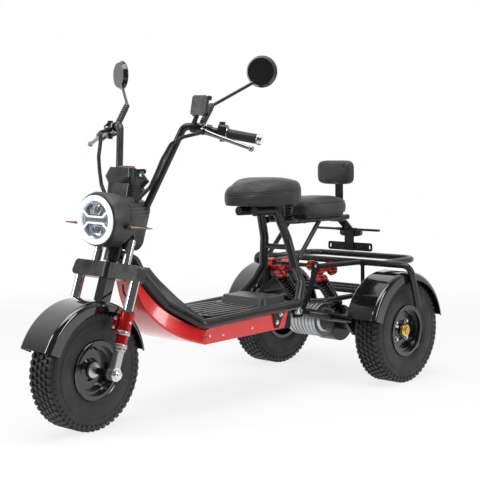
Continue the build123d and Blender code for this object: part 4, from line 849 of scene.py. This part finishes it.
def dome(outline, levels, top):
    """Closed cushion: each level (height share, draw-in) takes the plan outline, moved towards its middle
    by the draw-in, up to that share of the local height given by top.

    A draw-in of 50 or more is a share instead: it scales the outline by (100 - draw-in) / 60, which closes
    the base and the crown in to the middle."""
    middle = outline.mean(0)
    arm = outline - middle
    length = np.linalg.norm(arm, axis=1)[:, None]
    rows = []
    for share, inward in levels:
        if inward < 50:
            flat = middle + arm * np.clip(1 - inward / length, 0, 1)
        else:
            flat = middle + arm * (100 - inward) / 60
        rows.append(np.column_stack([flat, share * np.ones(len(flat))]))
    grid = np.stack(rows)
    low, high = top(grid[..., 0], grid[..., 1])
    grid[..., 2] = low + (high - low) * grid[..., 2]
    return skin(grid)


def saddle_outline(steps=96):
    """Plan of the saddle: half width follows a smooth curve through the nose, waist and haunches."""
    s = (1 - np.cos(np.linspace(0, np.pi, steps // 2 + 1))) / 2
    front, rear = SEAT_FRONT, SEAT_REAR
    station = front + s * (rear - front)
    knots = [front, front + 6, front + 20, front + 55, front + 115, rear - 80, rear - 40, rear - 14, rear - 4,
             rear]
    shares = np.array([0, 0.16, 0.27, 0.43, 0.8, 1.0, 0.98, 0.87, 0.6, 0])
    wide = np.interp(station, knots, shares * SEAT_HALF)
    wide[1:-1] = np.convolve(np.pad(wide, 2, "edge"), [0.1, 0.2, 0.4, 0.2, 0.1], "valid")[1:-1]
    left = np.column_stack([wide, at(station)])
    return np.concatenate([left, (left * (-1, 1))[-2:0:-1]])


def oblong_outline(width, depth, corner, centre, steps=96):
    """Rounded oblong in plan about its centre, from square to round as corner goes from 0 to 1."""
    x, y = superellipse(width, depth, 2 / (2 + 6 * (1 - corner)), steps)
    return np.column_stack([x, y]) + centre


def saddle_heights(x, y):
    """Flat base; the top slopes down to the nose and is crowned across."""
    rise = 84 + np.minimum(0, 0.16 * (y - at(SEAT_REAR - 110))) - 5
    crown = 4.0 * (1 - np.clip(np.abs(x) / SEAT_HALF, 0, 1) ** 2)
    return SEAT_BASE + 0 * x, SEAT_BASE + rise + crown


def pillion_heights(x, y):
    """Flat base and a top crowned across by a parabola."""
    crown = 3.5 * (1 - np.clip(np.abs(x) / 100, 0, 1) ** 2)
    return PILLION_BASE + 0 * x, PILLION_BASE + 50 + crown


def rest_heights(x, y):
    """The backrest is drawn lying down, then stood up: its flat back is at 0 and its crowned face at 38."""
    return 0 * x, 35 + 3 * (1 - np.clip(np.abs(x) / 80, 0, 1) ** 2)


PAD_LEVELS = [(0, 90), (0, 60), (0, 11), (0.04, 6), (0.14, 3.5), (0.3, 2.5), (0.5, 2.5), (0.68, 3.2),
              (0.82, 6), (0.92, 11), (0.98, 19), (1.0, 32), (1.0, 64), (1.0, 82), (1.0, 96)]
VOXEL, PRESSURE, FRAMES = 0.005, 4.0, 20
TAUT, TAUT_PASSES = 0.5, 12


def coordinates(mesh):
    """The mesh's points as rows, in metres."""
    co = np.empty(len(mesh.vertices) * 3)
    mesh.vertices.foreach_get("co", co)
    return co.reshape(-1, 3)


def filled(pads, swell):
    """Foam pushing its cover out: each pad (object, resting face test) is remeshed to an even grid and
    given cloth with air pressure for some frames without gravity, its resting face pinned.

    A point's move is scaled down where it is longer than swell. The cover is then smoothed taut and
    subdivided."""
    scene = bpy.context.scene
    for obj, resting in pads:
        grid = obj.modifiers.new("even_grid", "REMESH")
        grid.mode, grid.voxel_size = "VOXEL", VOXEL
        baked = bpy.data.meshes.new_from_object(obj.evaluated_get(bpy.context.evaluated_depsgraph_get()))
        obj.modifiers.clear()
        obj.data = baked
        held = obj.vertex_groups.new(name="resting")
        held.add(np.flatnonzero(resting(coordinates(baked) * 1000)).tolist(), 1.0, "REPLACE")
        cloth = obj.modifiers.new("cover", "CLOTH")
        cloth.settings.use_pressure = True
        cloth.settings.uniform_pressure_force = PRESSURE
        cloth.settings.effector_weights.gravity = 0.0
        cloth.settings.vertex_group_mass = "resting"
        cloth.point_cache.frame_start, cloth.point_cache.frame_end = 1, FRAMES
    for step in range(1, FRAMES + 1):
        scene.frame_set(step)
    for obj, _ in pads:
        soft = obj.evaluated_get(bpy.context.evaluated_depsgraph_get())
        start, end = coordinates(obj.data), coordinates(soft.data)
        moved = end - start
        far = np.linalg.norm(moved, axis=1)[:, None]
        capped = start + moved * np.minimum(1, swell / np.maximum(far, 1e-9))
        obj.data.vertices.foreach_set("co", capped.ravel())
        obj.modifiers.clear()
        obj.vertex_groups.clear()
        taut = obj.modifiers.new("taut", "SMOOTH")
        taut.factor, taut.iterations = TAUT, TAUT_PASSES
        finer = obj.modifiers.new("finer", "SUBSURF")
        finer.levels = finer.render_levels = 1
        obj.data = bpy.data.meshes.new_from_object(obj.evaluated_get(bpy.context.evaluated_depsgraph_get()))
        obj.modifiers.clear()
    scene.frame_set(1)


def grooved(obj, lines, depth, width):
    """Sewn channel: points near a seam line sink by depth times a bell of their distance over width."""
    co = coordinates(obj.data) * 1000
    normal = np.empty(len(co) * 3)
    obj.data.vertices.foreach_get("normal", normal)
    for line in lines:
        gap = np.min(np.linalg.norm(co[:, None] - line[None], axis=2), axis=1)
        co -= normal.reshape(-1, 3) * (depth * np.exp(-(gap / width) ** 2))[:, None]
    obj.data.vertices.foreach_set("co", (co * 0.001).ravel())
    obj.data.update()


def cover_of(obj):
    """Tree of a pad's faces in millimetres, for rays."""
    return BVHTree.FromPolygons((coordinates(obj.data) * 1000).tolist(),
                                [list(p.vertices) for p in obj.data.polygons])


def round_pad(obj, heights, middle, steps=160, aim=None):
    """Closed line round a pad, at a height that may change with the angle: rays cast inwards from outside
    meet the cover. Where aim is given, it carries the rays from the lying pad to the standing one."""
    tree = cover_of(obj)
    a = np.linspace(0, 2 * np.pi, steps, endpoint=False)
    out = np.stack([np.cos(a), np.sin(a), 0 * a], -1)
    start = np.array(middle) + 400 * out
    start[:, 2] = heights(a)
    if aim is not None:
        start, out = aim(start), aim(out + np.array(middle)) - aim(np.array(middle)[None])
    hits, normals = [], []
    for p, d in zip(start.tolist(), (-out).tolist()):
        where, facing = tree.ray_cast(Vector(p), Vector(d))[:2]
        hits.append(list(where))
        normals.append(list(facing))
    return np.array(hits), np.array(normals)


def covered(obj, node):
    """Gives a finished pad its vinyl and smooth faces, hides the solid that it stands for and sets it on its body.
    """
    mesh = obj.data
    mesh.materials.clear()
    mesh.materials.append(finish_named("leather_black"))
    mesh.polygons.foreach_set("use_smooth", [True] * len(mesh.polygons))
    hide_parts(node)
    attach(obj, "frame")


def dashes(line, normals, count, length, radius):
    """Stitches: short rounded bars set at even places along a closed line, lying along it."""
    pick = np.linspace(0, len(line), count, endpoint=False).astype(int)
    ahead = np.roll(line, -1, 0) - np.roll(line, 1, 0)
    ahead /= np.linalg.norm(ahead, axis=1)[:, None]
    z = ahead[pick]
    x = np.cross(normals[pick], z)
    x /= np.linalg.norm(x, axis=1)[:, None]
    bar = lathe([(0.2, -length / 2), (radius, -0.35 * length), (radius, 0.35 * length), (0.2, length / 2)], 6)
    return array_of(bar, np.stack([x, np.cross(z, x), z], 1), line[pick] + 0.5 * radius * normals[pick])


class TRICYCLE_OT_cushions(bpy.types.Operator):
    """Filled vinyl saddle, pillion pad and backrest with piping, sewn seams and buttons"""
    bl_idname = "tricycle.cushions"
    bl_label = "Cushions"

    def execute(self, context):
        sizes = context.scene.tricycle_sizes
        seat = plain_mesh("saddle_cushion", dome(saddle_outline(), PAD_LEVELS, saddle_heights))
        middle = (0, at((PILLION_FRONT + PILLION_REAR) / 2))
        pillion = plain_mesh("pillion_cushion",
                             dome(oblong_outline(197, 237, 0.34, middle), PAD_LEVELS, pillion_heights))
        points, quads, rims = dome(oblong_outline(159, 89, 0.5, (0, 0)), PAD_LEVELS, rest_heights)
        rest = plain_mesh("backrest_cushion", (stand_rest(points), quads, rims))
        filled([(seat, lambda p: p[:, 2] < SEAT_BASE + 3), (pillion, lambda p: p[:, 2] < PILLION_BASE + 3),
                (rest, lambda p: p[:, 1] > at(REST_BACK) - 3)], sizes.swell)
        pad_seams(seat, saddle_seam, SEAT_BASE + 4, (0, at(738), 0), sizes, "saddle")
        pad_seams(pillion, pillion_seam, PILLION_BASE + 4, (*middle, 0), sizes, "pillion")
        rest_seams(rest, sizes)
        covered(seat, "main_seat")
        covered(pillion, "rear_seat")
        covered(rest, "backrest")
        return {"FINISHED"}


def saddle_seam(angle):
    """Height of the saddle's upper seam: it falls by 14.4 from the back to the nose."""
    return SEAT_BASE + 52 - 12 * (1 - np.sin(angle)) / 2 * 1.2


def pillion_seam(angle):
    """Height of the pillion pad's upper seam, the same all round."""
    return PILLION_BASE + 40 + 0 * angle


def stand_rest(points):
    """The lying backrest stood up: its depth becomes height, and its crowned face looks forward."""
    p = np.asarray(points, float)
    return np.stack([p[..., 0], at(REST_BACK) - 0.5 - p[..., 2], REST_MIDDLE + p[..., 1]], -1)


def pad_seams(obj, heights, hem_height, middle, sizes, name):
    """A sewn channel where top and side band meet, with piping and stitches, and a hem at the base."""
    line, normals = round_pad(obj, heights, middle)
    grooved(obj, [line], 1.6, 3.2)
    hem, hem_normals = round_pad(obj, lambda a: hem_height + 0 * a, middle)
    above, above_normals = round_pad(obj, lambda a: heights(a) + 6, middle)
    r = 1000 * sizes.piping
    upper = pipe(line - 0.5 * normals, r, 10, closed=True)
    lower = pipe(hem + 0.2 * hem_normals, r, 10, closed=True)
    made(f"{name}_piping", together(upper, lower), "leather_black", "frame")
    made(f"{name}_stitches", dashes(above, above_normals, 150, 3.4, 0.55), "stitch", "frame")


def rest_seams(obj, sizes):
    """Channel and piping near the back edge of the backrest, and four buttons sunk in its face."""
    line, normals = round_pad(obj, lambda a: 8 + 0 * a, (0, 0, 8), aim=stand_rest)
    grooved(obj, [line], 1.4, 3.0)
    piping = pipe(line - 0.4 * normals, 1000 * sizes.piping, 10, ref=(0, 1, 0), closed=True)
    made("backrest_piping", piping, "leather_black", "frame")
    spots = [(x, at(1000), REST_MIDDLE + z) for x in (-52, 52) for z in (-22, 22)]
    hits, facing = laid_on(cover_of(obj), spots, (0, 1, 0))
    grooved(obj, [hits[k:k + 1] for k in range(len(hits))], 3.0, 7.0)
    button = lathe([(4.6, -4), (4.6, -1.6), (3.6, -0.7), (0.3, -0.3)], 20)
    made("backrest_buttons", dotted(button, list(zip(hits, facing))), "plastic_black", "frame")


# ---------------------------------------------------------------- fasteners, seams and welds
class TRICYCLE_OT_fasteners(bpy.types.Operator):
    """Bolts on the skirts, gussets, pivots, fork, plate bar and rack, each on its own body"""
    bl_idname = "tricycle.fasteners"
    bl_label = "Fasteners"

    def execute(self, context):
        screws = [((132.4, at(station), up(rise)), (1, 0, 0))
                  for station, rise in ((372, 62), (430, 58), (560, 62), (690, 68))]
        frame_pair("skirt_screws", dotted(cap_bolt(4.6, 2.8), screws), "bright")
        pivots = [((107, at(812), up(83.5)), (1, 0, 0))]
        frame_pair("pivot_bolts", dotted(hex_bolt(11.5, 9), pivots), "bright")
        brackets = [((x, behind(y), up(z)), (1, 0, 0))
                    for x, y, z in ((107, -318, 80), (107, -216, 226.5), (138, -449, 66), (138, -430, 90))]
        frame_pair("bracket_bolts", dotted(hex_bolt(5.6, 5), brackets), "bright")
        forward = on_fork(0, -1, 0) - on_fork(0, 0, 0)
        along = on_fork(0, 0, 1) - on_fork(0, 0, 0)
        post = [(on_fork(POST_X, 0, YOKE_TOP), along)]
        fork_pair("yoke_bolts", dotted(hex_bolt(8.5, 7), post), "steel")
        fork_piece("stem_nut", dotted(hex_bolt(15, 9), [(on_fork(0, 0, YOKE_TOP), along)]), "chrome")
        caps = [(on_fork(s * (LEG_X + 18), 0, 150), (s, 0, 0)) for s in (-1, 1)]
        fork_piece("slider_caps", dotted(cap_bolt(4.0, 3.0), caps), "bright")
        collars = [lathe([(17, h), (r, h + 0.4), (r + 0.8, h + 2), (r + 0.8, h + t - 2), (r, h + t - 0.4),
                          (17, h + t)], 40, closed=True)
                   for h, t, r in ((112.5, 13, 19.4), (74.5, 13, 19.4), (66, 8, 17.2))]
        legs = [stood(together(*collars), on_fork(s * LEG_X, 0, 0), along) for s in (-1, 1)]
        fork_piece("slider_collars", together(*legs), "alloy")
        lip = lathe([(15.3, 174), (19.2, 174.5), (19.6, 178), (17.4, 182.5), (15.3, 184)], 40, closed=True)
        seals = [stood(lip, on_fork(s * LEG_X, 0, 0), along) for s in (-1, 1)]
        fork_piece("fork_dust_seals", together(*seals), "grip_rubber")
        bar = [((x, behind(102) + 3, up(263.5)), (0, 1, 0)) for x in (34, 70)]
        frame_pair("plate_screws", dotted(cap_bolt(5.2, 3.0), bar), "steel")
        caliper = [(on_fork(CALIPER_X, -16, h), forward) for h in (130, 156)]
        fork_piece("caliper_bolts", dotted(hex_bolt(5.0, 6), caliper), "bright")
        return {"FINISHED"}


def ring_on(path_point, aim, radius, bead, waves=26):
    """Weld bead: a small circle carried round a tube, its radius rippling as if laid down in drops."""
    a = np.linspace(0, 2 * np.pi, 150, endpoint=False)
    r = bead * (1 + 0.16 * np.sin(waves * a))
    loop = np.stack([radius * np.cos(a), radius * np.sin(a), 0 * a], -1)
    return stood(pipe(loop, r, 8, closed=True), path_point, aim)


class TRICYCLE_OT_welds(bpy.types.Operator):
    """Weld beads where tubes meet, and dark strips of painted shade along the seams moulded in the covers,
    standing for the shade in their grooves
    """
    bl_idname = "tricycle.welds"
    bl_label = "Welds and seams"

    def execute(self, context):
        beads = [ring_on((x, y, up(rise)), aim, radius, bead) for x, y, rise, aim, radius, bead in (
            (57, behind(-294), 292.5, (1, 0, 0), 9.0, 1.8), (128, at(364), 82.5, (1, 0, 0), 8.0, 1.8),
            (150, behind(-30), 122.5, (0, 0.02, 1), 7.2, 1.5), (150, behind(-16), 214, (0, 0, 1), 7.0, 1.6),
            (98, at(812), 83.5, (1, 0, 0), 17.2, 1.6), (62, behind(-220), 378.5, (0, 1, 0), 9.0, 1.4),
            (210, behind(30), 122.5, (1, 0, 0), 8.2, 1.5), (210, behind(90), 122.5, (1, 0, 0), 8.2, 1.5))]
        frame_pair("weld_beads", together(*beads), "weld")
        # The neck cover's seam lines are thin near-black pipes of painted shade, laid on the cover where the shade
        # in its moulded grooves falls.
        cover = surface_of("neck_cover")
        lines = []
        for share in (-0.82, 0.82):
            s = np.linspace(0, 1, 40)
            centre = np.stack([0 * s, at(196 + 150 * s), up(104.5 + 200 - 190 * s)], -1)
            half = 38 + 70 * np.clip(s - 0.25, 0, 1) ** 1.3
            start = centre + np.stack([share * half, 0 * s, 60 + 0 * s], -1)
            hits, facing = laid_on(cover, start, (0, 0.45, -0.9))
            if len(hits) > 5:
                lines.append(pipe(eased(hits, 60, 3) + 0.15 * facing.mean(0), 0.8, 6))
        if lines:
            made("neck_cover_seam_shade", together(*lines), "seam", "frame")
        # Thin near-black strip of painted shade where the side skirt's panels meet, standing for the shade in the
        # gap.
        strip = slab(1.2, 45, [(0, 1.0), (0.8, 1.0)], corner=0.05, steps=8)
        joint = stood(strip, (132.3, at(357.5), up(59)), (1, 0, 0), (0, 1, 0))
        frame_pair("skirt_joint_shade", joint, "seam")
        return {"FINISHED"}


# ---------------------------------------------------------------- finishes of the solids, and the studio
class TRICYCLE_OT_finishes(bpy.types.Operator):
    """Gives every rigid piece its paint, plastic, rubber or metal finish by its material slot"""
    bl_idname = "tricycle.finishes"
    bl_label = "Finishes"

    def execute(self, context):
        for part in frame["record"]["subparts"]:
            obj = NODES[part["node"]]
            mat = finish_named(FINISH_OF_NODE.get(part["node"], part["material_slot"]))
            for slot in obj.material_slots:
                slot.material = mat
        return {"FINISHED"}


class TRICYCLE_OT_studio(bpy.types.Operator):
    """Pale floor that fades into a white surround, soft lights and the camera"""
    bl_idname = "tricycle.studio"
    bl_label = "Studio"

    def execute(self, context):
        s = context.scene.tricycle_studio
        build_floor(s)
        build_world(s)
        build_lights(s)
        build_camera()
        return {"FINISHED"}


def disc(name, radius, rings=24, spokes=96):
    """Flat disc: radius grows along one parameter and the angle along the other."""
    r, a = np.meshgrid(np.linspace(0.02, radius, rings), np.linspace(0, 2 * np.pi, spokes, endpoint=False),
                       indexing="ij")
    points = np.stack([r * np.cos(a), r * np.sin(a), np.zeros_like(r)], -1).reshape(-1, 3)
    i, j = np.meshgrid(np.arange(rings - 1), np.arange(spokes), indexing="ij")
    k = (j + 1) % spokes
    faces = np.stack([i * spokes + j, (i + 1) * spokes + j, (i + 1) * spokes + k, i * spokes + k],
                     -1).reshape(-1, 4)
    faces = faces.tolist() + [list(range(spokes))]
    mesh = bpy.data.meshes.new(name)
    mesh.from_pydata(points.tolist(), [], faces)
    obj = bpy.data.objects.new(name, mesh)
    bpy.context.scene.collection.objects.link(obj)
    return obj


FLOOR_GLOW = 0.8
BACKDROP_WAY = (-0.695, 0.719, 0.0)


def build_floor(s):
    """Pale floor whose opacity falls with distance from the middle, so it has no edge."""
    floor = disc("studio_floor", s.floor_radius)
    mat, tree, bsdf = shader("pale_floor")
    where = add(tree, "ShaderNodeTexCoord").outputs["Object"]
    far = add(tree, "ShaderNodeVectorMath", {0: where}, operation="LENGTH").outputs["Value"]
    span = {"Value": far, "From Min": 0.45 * s.floor_radius, "From Max": 0.98 * s.floor_radius}
    fade = add(tree, "ShaderNodeMapRange", span, interpolation_type="SMOOTHSTEP").outputs[0]
    bsdf.inputs["Roughness"].default_value = 0.9
    bsdf.inputs["Specular IOR Level"].default_value = 0.1
    tone = tuple(s.floor_colour)
    tree.links.new(ramp(tree, noise(tree, where, 3.0), shade(tone, 0.99), tone), bsdf.inputs["Base Color"])
    clear = add(tree, "ShaderNodeBsdfTransparent")
    path = add(tree, "ShaderNodeLightPath")
    seen = greatest(tree, path.outputs["Is Camera Ray"], path.outputs["Is Glossy Ray"])
    seen = greatest(tree, seen, path.outputs["Is Transmission Ray"])
    share = add(tree, "ShaderNodeMath", {0: seen, 1: FLOOR_GLOW}, operation="MULTIPLY")
    glow = add(tree, "ShaderNodeEmission", {"Color": (1, 1, 1, 1), "Strength": 1.0})
    lit = add(tree, "ShaderNodeMixShader", {0: share.outputs[0]})
    tree.links.new(bsdf.outputs[0], lit.inputs[1])
    tree.links.new(glow.outputs[0], lit.inputs[2])
    faded = add(tree, "ShaderNodeMixShader", {0: fade})
    tree.links.new(lit.outputs[0], faded.inputs[1])
    tree.links.new(clear.outputs[0], faded.inputs[2])
    tree.links.new(faded.outputs[0], tree.nodes["Material Output"].inputs["Surface"])
    floor.data.materials.append(mat)


def build_world(s):
    """White surround as a studio has it: full white where it is seen directly or through glass, and the
    fill level where it lights. Polished surfaces see the white backdrop behind the vehicle and a dim room
    elsewhere."""
    world = bpy.data.worlds.new("white_surround")
    bpy.context.scene.world = world
    world.use_nodes = True
    tree = world.node_tree
    ground = tree.nodes["Background"]
    path = add(tree, "ShaderNodeLightPath")
    way = add(tree, "ShaderNodeTexCoord").outputs["Generated"]
    facing = add(tree, "ShaderNodeVectorMath", {0: way, 1: BACKDROP_WAY},
                 operation="DOT_PRODUCT").outputs["Value"]
    span = {"Value": facing, "From Min": -0.25, "From Max": 0.45, "To Min": s.room, "To Max": 1.0}
    room = add(tree, "ShaderNodeMapRange", span, interpolation_type="SMOOTHSTEP").outputs[0]
    seen = greatest(tree, path.outputs["Is Camera Ray"], path.outputs["Is Transmission Ray"])
    level = add(tree, "ShaderNodeMapRange", {"Value": seen, "To Min": s.fill, "To Max": 1.0})
    gloss = add(tree, "ShaderNodeMix", {0: path.outputs["Is Glossy Ray"], 2: level.outputs[0], 3: room},
                data_type="FLOAT")
    ground.inputs["Color"].default_value = (1, 1, 1, 1)
    tree.links.new(gloss.outputs[0], ground.inputs["Strength"])


def softbox(name, power, size, place_at, aim):
    """Rectangular area light standing at a place and facing a point."""
    data = bpy.data.lights.new(name, "AREA")
    data.energy, data.shape, data.size, data.size_y = power, "RECTANGLE", size[0], size[1]
    obj = bpy.data.objects.new(name, data)
    obj.location = place_at
    obj.rotation_euler = (Vector(aim) - Vector(place_at)).to_track_quat("-Z", "Y").to_euler()
    bpy.context.scene.collection.objects.link(obj)


def build_lights(s):
    """One soft box overhead, one strip off the front right and one off the left side."""
    softbox("overhead_softbox", s.key_power, (2.4, 1.6), (0.4, -0.5, 2.9), (0.0, 0.0, 0.4))
    softbox("front_strip", s.side_power, (0.5, 2.0), (-1.1, -2.6, 1.5), (0.0, -0.3, 0.5))
    softbox("side_strip", s.side_power, (0.5, 2.0), (2.9, 0.6, 1.5), (0.0, 0.2, 0.4))


CAMERA_AT = (2.5636, -2.5580, 0.8195)
CAMERA_TURNS = (-44.04, -4.88, -0.86)
SENSOR, LENS = 36.0, 84.85


def build_camera():
    """Long lens at about seat height, off the front left corner.

    Yaw, pitch and roll are in degrees, the sensor and the lens in millimetres."""
    yaw, pitch, roll = (math.radians(turn) for turn in CAMERA_TURNS)
    ahead = Vector((math.sin(yaw) * math.cos(pitch), math.cos(yaw) * math.cos(pitch), math.sin(pitch)))
    right = Vector((math.cos(yaw), -math.sin(yaw), 0))
    up = right.cross(ahead)
    right, up = (math.cos(roll) * right + math.sin(roll) * up,
                 math.cos(roll) * up - math.sin(roll) * right)
    data = bpy.data.cameras.new("studio_camera")
    data.sensor_width, data.lens = SENSOR, LENS
    cam = bpy.data.objects.new("studio_camera", data)
    cam.matrix_world = Matrix.Translation(CAMERA_AT) @ Matrix((right, up,
        -ahead)).transposed().to_4x4()
    bpy.context.scene.collection.objects.link(cam)
    bpy.context.scene.camera = cam
    bpy.context.scene.view_settings.view_transform = "Standard"


class TRICYCLE_PT_panel(bpy.types.Panel):
    """Lists the dressing steps"""
    bl_idname = "TRICYCLE_PT_panel"
    bl_label = "Electric Tricycle"
    bl_space_type = "VIEW_3D"
    bl_region_type = "UI"
    bl_category = "Tricycle"

    def draw(self, context):
        for step in STEPS:
            self.layout.operator(step.bl_idname)
        for key in ("knob_rows", "knob_count", "grip_pitch", "loom_pitch", "piping", "swell"):
            self.layout.prop(context.scene.tricycle_sizes, key)
        for key in ("floor_radius", "floor_colour", "key_power", "side_power", "room", "fill"):
            self.layout.prop(context.scene.tricycle_studio, key)


STEPS = (TRICYCLE_OT_studio, TRICYCLE_OT_finishes, TRICYCLE_OT_tyres, TRICYCLE_OT_wheel_fittings,
         TRICYCLE_OT_headlamp,
         TRICYCLE_OT_display, TRICYCLE_OT_grips, TRICYCLE_OT_mirrors, TRICYCLE_OT_looms, TRICYCLE_OT_cushions,
         TRICYCLE_OT_fasteners, TRICYCLE_OT_welds)
CLASSES = (TricycleSizes, StudioSettings, *STEPS, TRICYCLE_PT_panel)


def register():
    for cls in CLASSES:
        bpy.utils.register_class(cls)
    bpy.types.Scene.tricycle_sizes = bpy.props.PointerProperty(type=TricycleSizes)
    bpy.types.Scene.tricycle_studio = bpy.props.PointerProperty(type=StudioSettings)


def unregister():
    del bpy.types.Scene.tricycle_studio
    del bpy.types.Scene.tricycle_sizes
    for cls in reversed(CLASSES):
        bpy.utils.unregister_class(cls)


def main():
    """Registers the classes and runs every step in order."""
    register()
    for step in STEPS:
        group, name = step.bl_idname.split(".")
        getattr(getattr(bpy.ops, group), name)()


if __name__ == "__main__":
    main()
